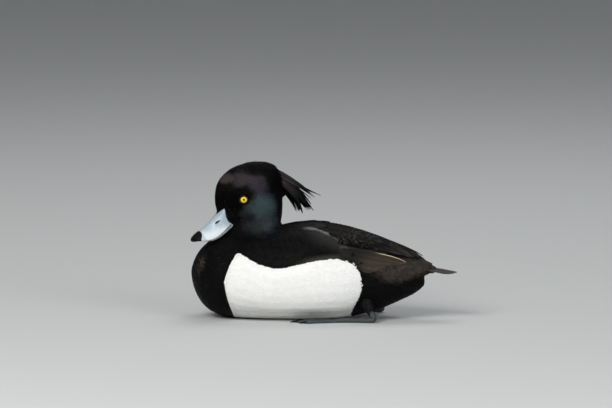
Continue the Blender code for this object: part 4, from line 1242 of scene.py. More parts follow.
def makeHeadPaintedSheen():
    # painted sheen and shade: the head's green, purple and brown and its black parts, in the head's own axes
    # in millimetres
    group, start, end = newGroup(
        "headGloss", [("Base", "colour", (0.003, 0.003, 0.003)), ("Amount", "float", 1.0)],
        [("Colour", "colour")]
    )
    place = addNode(group, "ShaderNodeTexCoord").outputs["Object"]
    turn = math.radians(headShape["turn"])
    turned = np.array(Matrix.Rotation(turn, 3, "Z"))
    centre = np.linalg.inv(turned) @ np.array([headShape["axisX"], 0.0, headShape["eyeHeight"]])
    own = addNode(group, "ShaderNodeMapping", {"Vector": place})
    own.inputs["Scale"].default_value = (1 / mm,) * 3
    own.inputs["Rotation"].default_value = (0.0, 0.0, -turn)
    own.inputs["Location"].default_value = tuple(-centre)
    ripple = noiseAt(group, own.outputs["Vector"], 0.09, 3.0)
    sway = addNode(
        group, "ShaderNodeVectorMath", {0: ripple.outputs["Color"], 1: (0.5, 0.5, 0.5)}, operation="SUBTRACT"
    )
    sway = addNode(group, "ShaderNodeVectorMath", {0: sway.outputs[0]}, operation="SCALE")
    sway.inputs["Scale"].default_value = 14.0
    warped = addNode(
        group, "ShaderNodeVectorMath", {0: own.outputs["Vector"], 1: sway.outputs[0]}, operation="ADD"
    )
    parts = addNode(group, "ShaderNodeSeparateXYZ", {"Vector": warped.outputs[0]})

    def patch(x, z, radiusX, radiusZ):
        a = calc(group, "DIVIDE", calc(group, "SUBTRACT", parts.outputs["X"], x), radiusX)
        b = calc(group, "DIVIDE", calc(group, "SUBTRACT", parts.outputs["Z"], z), radiusZ)
        reach = calc(group, "SQRT", calc(group, "ADD", times(group, a, a), times(group, b, b)))
        return fadeOver(group, reach, 0.25, 1.0, 1.0, 0.0)

    colour = start.outputs["Base"]
    for x, z, radiusX, radiusZ, strength, tone in headPatches:
        share = calc(
            group, "MULTIPLY", patch(x, z, radiusX, radiusZ),
            calc(group, "MULTIPLY", start.outputs["Amount"], strength), clamp=True
        )
        colour = blendColour(group, share, colour, tone)
    group.links.new(colour, end.inputs["Colour"])
    return group


def makeSidePanel():
    # where the side is white, from the same outlines; its border wavers a little between feathers
    group, start, end = newGroup(
        "sidePanel", [("Waver", "float", 0.8), ("Jitter", "float", 0.9)],
        [("White", "float"), ("Near", "float")]
    )
    place, x, z = bodyPlace(group)
    frontX, rearX = markings["whiteEnds"]
    lowest, tall = -10.0, 100.0  # the span of height that the two edges are kept in
    along = calc(group, "DIVIDE", calc(group, "SUBTRACT", x, frontX), rearX - frontX, clamp=True)

    def edgeHeight(label):
        outline = [((px - frontX) / (rearX - frontX), (pz - lowest) / tall) for px, pz in markings[label]]
        return calc(group, "MULTIPLY_ADD", heightOver(group, along, outline), tall, lowest)

    above = calc(group, "SUBTRACT", edgeHeight("whiteTop"), z)
    # painted reflection: a greyer band of the shoulder just above the rear half of the white, lit from the
    # white side
    midway = times(group, fadeOver(group, x, 5.0, 34.0), fadeOver(group, x, 56.0, 66.0, 1.0, 0.0))
    paintedBounce = times(group, fadeOver(group, above, -7.0, -1.0), midway)
    group.links.new(paintedBounce, end.inputs["Near"])
    inside = calc(group, "MINIMUM", above, calc(group, "SUBTRACT", z, edgeHeight("whiteLow")))
    inside = calc(group, "MINIMUM", inside, calc(group, "SUBTRACT", x, frontX))
    inside = calc(group, "MINIMUM", inside, calc(group, "SUBTRACT", rearX, x))
    noise = noiseAt(group, place, 0.45, 2.0)
    rear = fadeOver(group, x, 52.0, 74.0, 1.0, 3.6)
    sway = times(group, calc(group, "SUBTRACT", noise.outputs["Fac"], 0.5), start.outputs["Waver"], rear)
    tint = readValue(group, "tint")
    apart = times(group, calc(group, "SUBTRACT", tint, 0.5), start.outputs["Jitter"], rear)
    group.links.new(
        fadeOver(group, calc(group, "ADD", inside, calc(group, "ADD", sway, apart)), -0.35, 0.35),
        end.inputs["White"]
    )
    return group


# painted highlight and painted sheen on the shoulder:
# A pale line along the upper shoulder feathers and the soft grey under it, as the photograph's pixels
shoulderLine = [
    (303.5, 227.3), (312.5, 228.0), (318.5, 229.4), (323.8, 231.3), (330.0, 233.9), (335.0, 236.8),
    (340.0, 240.2), (344.0, 244.0), (350.0, 251.0)
]


def makeShoulderSheen():
    group, _, end = newGroup("shoulderSheen", [], [("Line", "float"), ("Soft", "float")])
    spots = [photoSpot(*p) for p in shoulderLine]
    firstX, lastX = spots[0].x, spots[-1].x
    lowest, tall = 40.0, 80.0  # the span of height that the line is kept in
    _, x, z = bodyPlace(group)
    outline = [((p.x - firstX) / (lastX - firstX), (p.z - lowest) / tall) for p in spots]
    along = calc(group, "DIVIDE", calc(group, "SUBTRACT", x, firstX), lastX - firstX)
    share = calc(group, "ADD", along, 0.0, clamp=True)
    height = calc(group, "MULTIPLY_ADD", heightOver(group, share, outline), tall, lowest)
    tint = readValue(group, "tint")
    below = calc(
        group, "ADD", calc(group, "SUBTRACT", height, z), calc(group, "MULTIPLY_ADD", tint, 0.8, -0.4)
    )
    begin = fadeOver(group, along, -0.05, 0.16)
    line = times(group, fadeOver(group, below, -1.2, 0.1), fadeOver(group, below, 0.1, 1.9, 1.0, 0.0), begin)
    line = times(group, line, fadeOver(group, along, 0.40, 0.85, 1.0, 0.1))
    group.links.new(line, end.inputs["Line"])
    soft = times(group, fadeOver(group, below, -1.3, 0.5), fadeOver(group, below, 3.0, 19.0, 1.0, 0.0))
    soft = times(group, soft, fadeOver(group, along, 0.0, 0.5), fadeOver(group, along, 0.98, 1.06, 1.0, 0.0))
    group.links.new(soft, end.inputs["Soft"])
    return group


def makeShoulderSheenTones():
    group, start, end = newGroup(
        "shoulderTones",
        [("Base", "colour", (0.003, 0.003, 0.003)), ("Line", "float", 0.0), ("Soft", "float", 0.0)],
        [("Colour", "colour")]
    )
    # painted sheen: the soft grey; painted highlight: the pale line
    colour = blendColour(
        group, times(group, start.outputs["Soft"], 0.8), start.outputs["Base"], (0.028, 0.027, 0.026)
    )
    colour = blendColour(group, times(group, start.outputs["Line"], 0.9), colour, (0.150, 0.146, 0.144))
    group.links.new(colour, end.inputs["Colour"])
    return group


def paintShoulderSheen(tree, colour):
    sheen = useGroup(tree, shoulderSheen)
    tones = useGroup(tree, shoulderTones, Base=colour, Line=sheen.outputs["Line"], Soft=sheen.outputs["Soft"])
    return tones.outputs["Colour"]


vaneMarks = makeVaneMarks()
shoulderSheen = makeShoulderSheen()
shoulderTones = makeShoulderSheenTones()
softVariation = makeSoftVariation()
headGloss = makeHeadPaintedSheen()
sidePanel = makeSidePanel()

plumageLooks = {
    "black": {
        "dark": (0.0012, 0.0012, 0.0014), "light": (0.0052, 0.0050, 0.0052), "edge": (0.015, 0.0135, 0.0125),
        "edgeShare": 0.4,
        "shade": (0.050, 0.040, 0.034), "rough": (0.42, 0.60), "shine": 0.04,
    },
    "head": {
        "dark": (0.0014, 0.0013, 0.0015), "light": (0.0058, 0.0052, 0.0058), "edge": (0.009, 0.0085, 0.009),
        "edgeShare": 0.2,
        "shade": (0.052, 0.038, 0.029), "rough": (0.40, 0.55), "shine": 0.025,
    },
    "white": {
        "dark": (0.81, 0.81, 0.785), "light": (0.90, 0.895, 0.875), "edge": (0.93, 0.93, 0.91),
        "edgeShare": 0.5,
        "rough": (0.55, 0.75), "shine": 0.3,
    },
    "brown": {
        "dark": (0.024, 0.0185, 0.0125), "light": (0.056, 0.043, 0.028), "edge": (0.070, 0.053, 0.038),
        "edgeShare": 0.5,
        "shade": (0.55, 0.42, 0.27), "rough": (0.42, 0.60), "shine": 0.12,
    },
    "tertial": {
        "dark": (0.0008, 0.0008, 0.0009), "light": (0.0042, 0.0040, 0.0038), "edge": (0.013, 0.0115, 0.0105),
        "edgeShare": 0.4,
        "ripple": (0.031, 0.027, 0.023), "bars": 12.0, "tip": (0.040, 0.030, 0.031),
        "shade": (0.05, 0.04, 0.034), "rough": (0.42, 0.60),
        "shine": 0.03,
    },
    "crest": {
        "dark": (0.0014, 0.0013, 0.0014), "light": (0.0075, 0.0068, 0.0070), "edge": (0.012, 0.011, 0.011),
        "edgeShare": 0.3,
        "root": (0.046, 0.037, 0.038), "shade": (0.05, 0.04, 0.034), "rough": (0.40, 0.55), "shine": 0.05,
    },
    "tail": {
        "dark": (0.018, 0.0155, 0.015), "light": (0.046, 0.039, 0.038), "edge": (0.115, 0.096, 0.094),
        "edgeShare": 0.55,
        "shade": (0.15, 0.122, 0.118), "rough": (0.45, 0.62), "shine": 0.12,
    },
}


def makePlumage(name, look, paintedSheen=False, barbCount=30.0, edgeOnly=False, panel=False, ripples=False):
    made, tree, shader = newMaterial(name, Specular_IOR_Level=look["shine"], IOR=1.5)
    marks = useGroup(tree, vaneMarks, Barb_Count=barbCount)
    along, tint, shade = (marks.outputs[label] for label in ("Along", "Tint", "Shade"))
    slow = useGroup(tree, softVariation, Size=0.03, Seed=2.0)
    tone = calc(tree, "MULTIPLY_ADD", tint, 0.55, times(tree, slow.outputs["Value"], 0.45))
    colour = blendColour(tree, tone, look["dark"], look["light"])
    colour = blendColour(tree, times(tree, marks.outputs["Edge"], look["edgeShare"]), colour, look["edge"])
    if "root" in look:
        # painted sheen: paler towards the feather's root, more on some than on others
        paler = times(tree, fadeOver(tree, along, 0.25, 0.75, 1.0, 0.0), fadeOver(tree, tone, 0.25, 0.8))
        colour = blendColour(tree, paler, colour, look["root"])
    # painted sheen: paler, redder tips
    if "tip" in look:
        paler = times(tree, fadeOver(tree, along, 0.72, 0.96), fadeOver(tree, tint, 0.1, 0.9, 0.2, 0.9))
        colour = blendColour(tree, paler, colour, look["tip"])
    # painted sheen and painted shade on the head, by place
    if paintedSheen:
        amount = calc(tree, "MULTIPLY_ADD", tint, 0.4, 0.8)
        colour = useGroup(tree, headGloss, Base=colour, Amount=amount).outputs["Colour"]
    # the shoulder's painted highlight and painted sheen
    if panel and not ripples and not edgeOnly:
        colour = paintShoulderSheen(tree, colour)
    if ripples:
        # ripples across the vane, in patches: partly fine vermiculation, partly painted sheen along the
        # feather edges
        place = addNode(tree, "ShaderNodeTexCoord").outputs["Object"]
        patches = noiseAt(tree, place, 60.0, 3.0)
        warp = calc(tree, "MULTIPLY_ADD", patches.outputs["Fac"], 4.5, tint)
        turns = calc(tree, "MULTIPLY_ADD", along, look["bars"], warp)
        bars = calc(tree, "SINE", times(tree, turns, math.tau))
        where = times(tree, fadeOver(tree, along, 0.15, 0.35), fadeOver(tree, along, 0.7, 0.95, 1.0, 0.25))
        inPatches = fadeOver(tree, patches.outputs["Fac"], 0.40, 0.60)
        amount = times(tree, fadeOver(tree, bars, -0.2, 1.0), where, inPatches)
        colour = blendColour(tree, amount, colour, look["ripple"])
    if edgeOnly:
        # the upper edge alone is pale, on either wing
        upper = times(tree, marks.outputs["Aside"], calc(tree, "SIGN", shade))
        pale = times(tree, fadeOver(tree, upper, 0.66, 0.86), fadeOver(tree, along, 0.45, 0.62))
        colour = blendColour(tree, times(tree, pale, calc(tree, "ABSOLUTE", shade)), colour, look["shade"])
        darker = fadeOver(tree, along, 0.22, 0.62, 0.85, 0.0)
        colour = blendColour(tree, darker, colour, plumageLooks["black"]["light"])
    else:
        # the shade attribute's brown on the stern is partly painted sheen
        colour = blendColour(tree, shade, colour, look["shade"])
    shaftTone = times(tree, marks.outputs["Shaft"], 0.35)
    colour = blendColour(tree, shaftTone, colour, look["dark"])
    if panel:
        light = plumageLooks["white"]
        side = useGroup(tree, sidePanel)
        pale = blendColour(tree, tone, light["dark"], light["light"])
        pale = blendColour(tree, times(tree, marks.outputs["Edge"], light["edgeShare"]), pale, light["edge"])
        # painted reflection of the white side on the shoulder just above it
        colour = blendColour(tree, times(tree, side.outputs["Near"], 0.85), colour, (0.042, 0.039, 0.032))
        colour = blendColour(tree, side.outputs["White"], colour, pale)
    tree.links.new(colour, shader.inputs["Base Color"])
    low, high = look["rough"]
    tree.links.new(fadeOver(tree, tone, 0.0, 1.0, high, low), shader.inputs["Roughness"])
    relief = calc(tree, "ADD", times(tree, marks.outputs["Barbs"], 0.35), marks.outputs["Shaft"])
    addRelief(tree, shader, relief, 0.35, 0.00012)
    return made


# the white of the side and belly comes from sidePanel, so that every feather there can be black beyond it
underWhite = {
    **plumageLooks["black"], "rough": plumageLooks["white"]["rough"], "shine": plumageLooks["white"]["shine"]
}
plumage = {
    "black": makePlumage("blackPlumage", plumageLooks["black"], panel=True),
    "head": makePlumage("glossyHeadPlumage", plumageLooks["head"], paintedSheen=True, barbCount=8.0),
    "white": makePlumage("whitePlumage", underWhite, barbCount=34.0, panel=True),
    "tertial": makePlumage(
        "tertialPlumage", plumageLooks["tertial"], barbCount=70.0, ripples=True, panel=True
    ),
    "brown": makePlumage("wingPlumage", plumageLooks["brown"], barbCount=60.0, edgeOnly=True, panel=True),
    "crest": makePlumage("crestPlumage", plumageLooks["crest"], barbCount=14.0),
    "tail": makePlumage("tailPlumage", plumageLooks["tail"], barbCount=50.0),
}


def makeSkinMaterial():
    made, tree, shader = newMaterial("skinUnderPlumage", Roughness=0.7)
    side = useGroup(tree, sidePanel, Jitter=0.0)
    slow = useGroup(tree, softVariation, Size=0.012, Seed=5.0)
    dark = blendColour(
        tree, slow.outputs["Value"], plumageLooks["black"]["dark"], plumageLooks["black"]["light"]
    )
    # the head's painted sheen and painted shade on the skin too
    dark = useGroup(tree, headGloss, Base=dark).outputs["Colour"]
    # the shoulder's painted highlight and painted sheen on the skin too
    dark = paintShoulderSheen(tree, dark)
    dark = blendColour(tree, readValue(tree, "shade"), dark, plumageLooks["black"]["shade"])
    light = blendColour(tree, slow.outputs["Value"], (0.78, 0.78, 0.755), (0.86, 0.86, 0.835))
    tree.links.new(blendColour(tree, side.outputs["White"], dark, light), shader.inputs["Base Color"])
    addRelief(tree, shader, slow.outputs["Value"], 0.4, 0.0004)
    return made


brownTract = {
    "sternFrom": (88.0, 108.0),
    "sternLow": [(84.0, 53.0), (97.0, 49.5), (110.0, 43.0), (123.0, 43.0), (137.0, 48.5), (150.0, 51.5)],
    "sternFade": 4.0, "sternHigh": (70.0, 62.0), "breast": (200.5, 263.5), "breastSize": (3.0, 12.0),
}


def brownShare(points):
    # the stern's brown, partly painted sheen on its lit upper part, and a brown patch on the front of the
    # breast
    b = brownTract
    x, y, z = points.T
    low = alongTable(b["sternLow"], x)
    overEdge = rampUp(-b["sternFade"], b["sternFade"], z - low)
    stern = rampUp(*b["sternFrom"], x) * overEdge * rampUp(*b["sternHigh"], z)
    spot = photoSpot(*b["breast"])
    reach = np.sqrt((x - spot.x) ** 2 + (np.abs(y) - abs(spot.y)) ** 2 + 0.45 * (z - spot.z) ** 2)
    breast = rampUp(*b["breastSize"][::-1], reach)
    return stern, breast


def markSkin():
    # the stern's partly painted sheen and the breast's brown on the skin too
    stern, breast = brownShare(skinPoints)
    shade = np.maximum(stern * 0.8, breast * 0.4).astype(np.float32)
    skin.data.attributes.new("shade", "FLOAT", "POINT").data.foreach_set("value", shade)


markSkin()
finishPiece(
    skin, makeSkinMaterial(), "black_plumage",
    "torso", "belly", "flank_left", "flank_right", "scapulars_left", "scapulars_right",
    "wing_left", "wing_right", "neck", "head",
)


# The small feathers, one piece for each part of the body

def growCoat():
    points, normals, lie, zones = scatterRoots()
    roots = coatRoots(points, normals, lie, zones)
    seen = roots["seen"]
    white = (whiteness(seen) > 0.5) & ((points[:, 2] < 90) & (points[:, 0] < 92))
    names = np.array(coatKinds)[zones]
    side = points[:, 1]
    # the stern's brown is partly painted sheen where it is lit
    stern, breast = brownShare(seen)
    onStern = stern * (0.75 + 0.25 * softNoise(points, 7.0, 8))
    onBreast = breast * (0.5 + 0.7 * softNoise(points, 3.6, 9))
    brown = np.maximum(onStern, onBreast)
    roots["shade"][~white] = np.clip(brown, 0, 1)[~white]
    groups = [
        ("headFeathersLeft", np.isin(names, ("head", "face")) & (side < 0), "barb", "head"),
        ("headFeathersRight", np.isin(names, ("head", "face")) & (side >= 0), "barb", "head"),
        ("crownFeathers", names == "crown", "lock", "head"),
        ("neckFeathers", names == "neck", "contour", "head"),
        ("breastFeathers", (names == "breast") & ~white, "contour", "black"),
        ("backFeathers", np.isin(names, ("back", "white", "belly")) & ~white, "contour", "black"),
        ("sternFeathers", (names == "stern") & ~white, "contour", "black"),
        ("flankFeathersLeft", white & (names != "belly") & (side < 0), "silky", "white"),
        ("flankFeathersRight", white & (names != "belly") & (side >= 0), "silky", "white"),
        ("bellyFeathers", white & (names == "belly"), "contour", "white"),
    ]
    for name, chosen, kind, look in groups:
        slot = "white_plumage" if look == "white" else "black_plumage"
        growFeathers(name, someOf(roots, chosen), kind, plumage[look], slot)


growCoat()


# Shoulder feathers and folded wings, laid in rows on the skin

def castOut(origin, way):
    return skinTree.ray_cast(Vector(origin), Vector(way).normalized())[0]


def tractSpot(x, down, side):
    # a place on the back and side, where down runs from the back's edge, 0, to the white panel's or the
    # wing's, 1
    x = min(x, 144.0)
    wide = float(alongTable(markings["backEdge"], x))
    if x < markings["wingFrom"]:
        low = float(alongTable(markings["whiteTop"], x)) + 0.5
    else:
        low = float(alongTable(markings["wingLow"], x))
    top = castOut((x, side * wide, 200.0), (0, 0, -1))
    flank = castOut((x, side * 200.0, low), (0, -side, 0))
    topAngle = math.atan2(wide, (top.z if top else 90.0) - 45.0)
    lowAngle = math.atan2(abs(flank.y) if flank else 50.0, low - 45.0)
    angle = mix(topAngle, lowAngle, down)
    found = castOut((x, 0.0, 45.0), (0, side * math.sin(angle), math.cos(angle)))
    return found if found else nearestOnSkin((x, side * wide, 80.0))[0]


def plumeRoots(rows):
    # each row has its run (root, middle and tip), the way outwards, and what differs from the usual values
    usual = {"width": 10.0, "lift": 1.0, "base": 0.3, "thick": 0.35, "hug": 1.0, "tint": 0.5, "shade": 0.0}
    columns = {label: [] for label in ("root", "bend", "tip", "side", *usual)}
    for row in rows:
        root, middle, tip = (Vector(p) for p in row["run"])
        bend = middle * 2 - (root + tip) / 2
        ahead = (tip - root).normalized()
        side = Vector(row["outward"]).cross(ahead).normalized()
        for label, value in (("root", root), ("bend", bend), ("tip", tip), ("side", side)):
            columns[label].append(tuple(value))
        for label, value in usual.items():
            columns[label].append(row.get(label, value))
    roots = {label: np.array(values, float) for label, values in columns.items()}
    roots["unwrap"] = unwrapPlaces(roots["root"] * 0.5 + roots["bend"] * 0.5)
    return roots


shoulderFeathers = {
    "rows": 13, "inRow": 13, "frontX": -50.0, "lobe": (26.0, 62.0), "scallop": 4.0,
    "length": (11.0, 33.0), "width": (5.6, 11.0), "lift": (0.8, 1.2), "base": 0.8, "thick": 0.22, "seed": 21,
}


def growShoulders():
    s = shoulderFeathers
    for side, word in ((-1, "Left"), (1, "Right")):
        rng = random.Random(s["seed"])
        rows = []
        for r in range(s["rows"]):
            share = r / (s["rows"] - 1)
            for k in range(s["inRow"]):
                down = (k + (0.25 if r % 2 else 0.75)) / s["inRow"] + rng.uniform(-0.02, 0.02)
                down = min(max(down, 0.03), 0.95)
                flat = float(rampUp(0.70, 0.9, down))  # the lowest ones lie close, level with the white side
                length = mix(*s["length"], share ** 1.2) * rng.uniform(0.93, 1.07)
                scallop = s["scallop"] * (abs(math.sin(math.pi * 4 * down)) - 0.5)
                end = mix(*s["lobe"], down) - s["length"][1] + scallop + 6
                x = mix(s["frontX"] + 12 * abs(2 * down - 1) ** 2.5, end, share) + rng.uniform(-1.2, 1.2)
                run = [tractSpot(x + length * t, min(0.99, down + 0.05 * t), side) for t in (0.0, 0.5, 1.0)]
                outward = Vector((0, run[0].y, run[0].z - 45.0))
                rows.append({
                    "run": run, "outward": outward,
                    "width": mix(*s["width"], share) * rng.uniform(0.92, 1.08),
                    "lift": mix(mix(*s["lift"], share) * rng.uniform(0.85, 1.2), 0.25, flat),
                    "base": mix(s["base"] + rng.uniform(0, 0.15), 0.12, flat),
                    "thick": s["thick"], "tint": rng.random(), "shade": 0.0,
                })
        growFeathers(f"shoulderFeathers{word}", plumeRoots(rows), "quill", plumage["black"], "black_plumage")


# The left wing as the photograph shows it: each line is a feather's root, middle and tip in its pixels,
# then its width, the height of its tip and how pale its upper edge is. More are laid between these.
wingFeathers = {
    "tertials": [
        ((326, 223), (377, 234), (421, 260), 11.0, 2.8, 0.0),
        ((322, 226), (369, 236.5), (413, 259), 11.0, 2.5, 0.0),
        ((320, 230), (361, 239.5), (404, 256.5), 10.5, 2.3, 0.0),
        ((320, 234.5), (355, 242), (394, 253), 9.5, 2.05, 0.0),
        ((322, 239), (352, 244.5), (384, 250.5), 7.5, 1.8, 0.0),
    ],
    "wingEdge": [
        ((336, 250), (376, 256.3), (407, 263.5), 8.0, 1.7, 1.0),
        ((338, 251), (370, 259.5), (400, 264), 7.5, 1.5, 0.16),
        ((341, 255), (367, 262.5), (391, 263.5), 7.0, 1.3, 0.12),
        ((347, 258), (366, 266), (384, 266), 6.5, 1.15, 0.08),
        ((353, 262), (364, 269.5), (375, 270), 6.0, 1.0, 0.05),
    ],
    "between": {"tertials": 2, "wingEdge": 1},
    "rootHeight": 0.4, "thick": 0.28, "seed": 31,
}


def growWings():
    w = wingFeathers
    for part, kind, slot in (
        ("tertials", "tertial", "black_plumage"), ("wingEdge", "brown", "brown_plumage")
    ):
        lines = [[*a, *b, *c, width, height, pale] for a, b, c, width, height, pale in w[part]]
        step = w["between"][part] + 1
        count = (len(lines) - 1) * step + 1
        for side, word in ((-1, "Left"), (1, "Right")):
            rng = random.Random(w["seed"])
            rows = []
            for i in range(count):
                x0, y0, x1, y1, x2, y2, width, height, _ = rowAt(lines, i / step)
                pale = lines[i // step][-1] if i % step == 0 else 0.08
                places = [photoSpot(x0, y0), photoSpot(x1, y1), photoSpot(x2 + rng.uniform(-1.2, 1.2), y2)]
                if side > 0:
                    places = [nearestOnSkin((p.x, -p.y, p.z))[0] for p in places]
                middle = places[1]
                rows.append({
                    "run": places, "outward": Vector((0, middle.y, middle.z - 45.0)), "width": width,
                    "lift": height - w["rootHeight"], "base": w["rootHeight"], "thick": w["thick"],
                    "tint": rng.random(),
                    "shade": -side * pale if part == "wingEdge" else 0.0,
                })
            growFeathers(part + word, plumeRoots(rows), "quill", plumage[kind], slot)


tailFeathers = {
    "count": 18, "root": (139.0, 57.0), "drop": 8.0, "spread": 17.0, "length": 42.0, "width": 10.0,
    "step": 0.28,
    "droop": 1.0, "thick": 0.4, "seed": 41,
}


def growTail():
    t = tailFeathers
    rng = random.Random(t["seed"])
    rows = []
    rootX, rootZ = t["root"]
    drop = math.radians(t["drop"])
    for k in range(t["count"]):
        place = 2 * k / (t["count"] - 1) - 1
        heading = math.radians(t["spread"]) * place
        ahead = Vector(
            (math.cos(heading) * math.cos(drop), math.sin(heading) * math.cos(drop), -math.sin(drop))
        )
        root = Vector((rootX, 7.0 * place, rootZ - t["step"] * abs(place) * 6 - 0.15 * (k % 2)))
        length = t["length"] * (1 - 0.2 * place * place) * rng.uniform(0.98, 1.02)
        middle = root + ahead * length * 0.5 + Vector((0, 0, 0.25 * t["droop"]))
        tip = root + ahead * length - Vector((0, 0, t["droop"] * 0.5))
        rows.append({
            "run": [root, middle, tip], "outward": (0, 0.0, 1.0), "width": t["width"], "lift": 0.0,
            "base": 0.0,
            "thick": t["thick"], "hug": 0.0, "tint": rng.random(), "shade": 0.15 + 0.2 * rng.random(),
        })
    growFeathers("tailFeathers", plumeRoots(rows), "quill", plumage["tail"], "brown_plumage", "tail")


# Crest: clumps of thin locks on the same curves as the solid's locks

crestShape = {
    # locks, then backwards and height of the root, the bend and the tip, then how far the tips scatter
    "groups": [
        (12, (24.0, 26.5), (53.0, 8.5), (68.5, -14.0), (4.0, 3.5), 15),
        (9, (31.0, 18.0), (51.0, 4.5), (56.5, -18.0), (2.4, 2.8), 12),
        (1, (30.0, 27.5), (51.0, 12.5), (81.0, -1.2), (0.0, 0.0), 10),
        (7, (28.0, 20.5), (51.0, 6.5), (61.0, -8.0), (3.0, 3.0), 11),
        (3, (27.0, 26.0), (53.0, 11.0), (71.0, -4.0), (2.0, 2.5), 4),
    ],
    "width": 1.7, "thick": 0.28, "clump": 2.3, "seed": 7,
}


def growCrest():
    c = crestShape
    rng, fine = random.Random(c["seed"]), random.Random(c["seed"] + 1)
    rows = []
    turn = headMatrix.to_3x3()
    for count, root, bend, tip, scatter, strands in c["groups"]:
        for k in range(count):
            place = 0.5 if count == 1 else k / (count - 1)
            angle = math.pi * (place - 0.5)
            outward = Vector((0.25 * math.cos(angle), math.sin(angle), 0.6 * math.cos(angle))).normalized()
            aside = 6.5 * math.sin(angle)
            spread = Vector((scatter[0] * rng.uniform(-1, 1), 0, scatter[1] * rng.uniform(-1, 1)))
            first = Vector((root[0], aside, root[1])) + spread * 0.8
            second = Vector((bend[0], aside * 1.1, bend[1])) + spread * 1.2
            third = Vector((tip[0], aside * rng.uniform(0.5, 1.2), tip[1])) + spread
            clump = c["clump"] * rng.uniform(0.8, 1.15)
            across = (third - first).normalized().cross(outward).normalized()
            for n in range(strands):
                around, far = math.tau * n / strands + fine.uniform(0, 0.5), math.sqrt(fine.random())
                step = (across * math.cos(around) * 1.1 + outward * math.sin(around) * 0.6) * clump * far
                reach = fine.uniform(0.84, 1.0)
                a = first + step
                b = second + step * 0.95
                d = third + step * 0.25
                # the strand ends a little short along its own curve
                run = [
                    headMatrix @ (a * (1 - t) ** 2 + b * 2 * t * (1 - t) + d * t * t)
                    for t in (0.0, reach / 2, reach)
                ]
                facing = (outward + across * fine.uniform(-0.5, 0.5)).normalized()
                rows.append({
                    "run": run, "outward": turn @ facing, "width": c["width"] * fine.uniform(0.7, 1.2),
                    "lift": 0.0,
                    "base": 0.0, "thick": c["thick"], "hug": 0.0, "tint": fine.random(), "shade": 0.0,
                })
    growFeathers("crestLocks", plumeRoots(rows), "lock", plumage["crest"], "black_plumage", "crest")


# Short feathers down the upper leg, from the body to above the heel

thighFeathers = {
    "path": [(77.0, 26.0, 35.0), (83.0, 33.0, 25.5), (89.0, 40.5, 16.0), (93.2, 45.6, 9.2)],
    "radii": (9.5, 7.6, 5.4, 3.3),
    "rings": 9, "inRing": 16, "length": 0.34, "width": 3.6, "lift": 0.5, "thick": 0.15, "seed": 51,
}


def growThighs():
    t = thighFeathers
    table = [(*p, r) for p, r in zip(t["path"], t["radii"])]
    for side, word in ((-1, "Left"), (1, "Right")):
        rng = random.Random(t["seed"])
        rows = []
        for i in range(t["rings"]):
            share = (1 - t["length"]) * i / (t["rings"] - 1)
            for k in range(t["inRing"]):
                turn = math.tau * (k + 0.5 * (i % 2)) / t["inRing"] + rng.uniform(-0.1, 0.1)
                reach = t["length"] * rng.uniform(0.8, 1.1)
                run = []
                for part in (0.0, 0.5, 1.0):
                    place = (len(table) - 1) * (share + reach * part)
                    x, y, z, radius = rowAt(table, place)
                    after = rowAt(table, place + 0.05)
                    ahead = Vector((after[0] - x, side * (after[1] - y), after[2] - z)).normalized()
                    across = ahead.cross(Vector((0, 0, 1))).normalized()
                    outward = across * math.cos(turn) + across.cross(ahead) * math.sin(turn)
                    run.append(Vector((x, side * y, z)) + outward * (radius - 1.0 + 0.8 * part))
                rows.append({
                    "run": run, "outward": outward, "width": t["width"] * rng.uniform(0.85, 1.1),
                    "lift": t["lift"], "base": 0.0,
                    "thick": t["thick"], "hug": 0.0, "tint": rng.random(), "shade": 0.25 * rng.random(),
                })
        growFeathers("thighFeathers" + word, plumeRoots(rows), "contour", plumage["black"], "black_plumage")


growShoulders()
growWings()
growTail()
growCrest()
growThighs()


# Bill: both halves, the nail and the nostrils

billDetail = {
    "rings": 180, "sides": 128, "nostrilSize": (3.3, 1.0), "nostrilTilt": 9.0, "nostrilDepth": 2.4,
    "nailGrow": 0.30, "nailRear": 6.0,
}


def makeBillUpper():
    d = billDetail
    rings = []
    for i in range(d["rings"]):
        row = rowAt(billShape["upper"], (len(billShape["upper"]) - 1) * i / (d["rings"] - 1))
        rings.append(billRing(row, d["sides"], True))
    upper = loft("billUpper", [[billPlace @ p for p in ring] for ring in rings])
    mesh = upper.data
    local = toBill(readVertices(mesh, "co") / mm)
    nostrilX, nostrilDown = billShape["nostril"]
    tilt = math.radians(d["nostrilTilt"])
    dx, dz = local[:, 0] - nostrilX, local[:, 2] - nostrilDown
    a = (dx * math.cos(tilt) + dz * math.sin(tilt)) / d["nostrilSize"][0]
    b = (-dx * math.sin(tilt) + dz * math.cos(tilt)) / d["nostrilSize"][1]
    reach = np.hypot(a, b)
    onSide = np.abs(local[:, 1]) > 3.0
    dent = rampUp(1.08, 0.72, reach) * onSide
    swell = rampUp(1.9, 1.2, reach) * rampUp(0.9, 1.15, reach) * onSide
    # a low bank of horn stands over the nostril, and a shallow groove runs on in front of it
    groove = rampUp(5.0, 0.0, np.abs(dx - 7.0)) * rampUp(2.4, 0.0, np.abs(dz - 0.8)) * onSide
    local[:, 1] -= np.sign(local[:, 1]) * (d["nostrilDepth"] * dent - 0.28 * swell + 0.35 * groove)
    # the dark of the nostril's hollow is painted shade, read by the bill's material
    mesh.attributes.new("cavity", "FLOAT", "POINT").data.foreach_set("value", dent.astype(np.float32))
    # where feathers cover it the horn sinks under them
    cover = rampUp(0.5, -0.4, billOvershoot(local))
    local[:, 1] *= 1 - 0.17 * cover
    local[:, 2] = mix(local[:, 2], 9.0, 0.30 * cover)
    mesh.vertices.foreach_set("co", (moved(local, billPlace) * mm).ravel())
    mesh.update()
    return upper


def makeBillLower():
    d = billDetail
    table = billShape["lower"]
    rings = [billRing(rowAt(table, (len(table) - 1) * i / 47), d["sides"], False) for i in range(48)]
    return loft("billLower", [[billPlace @ p for p in ring] for ring in rings])


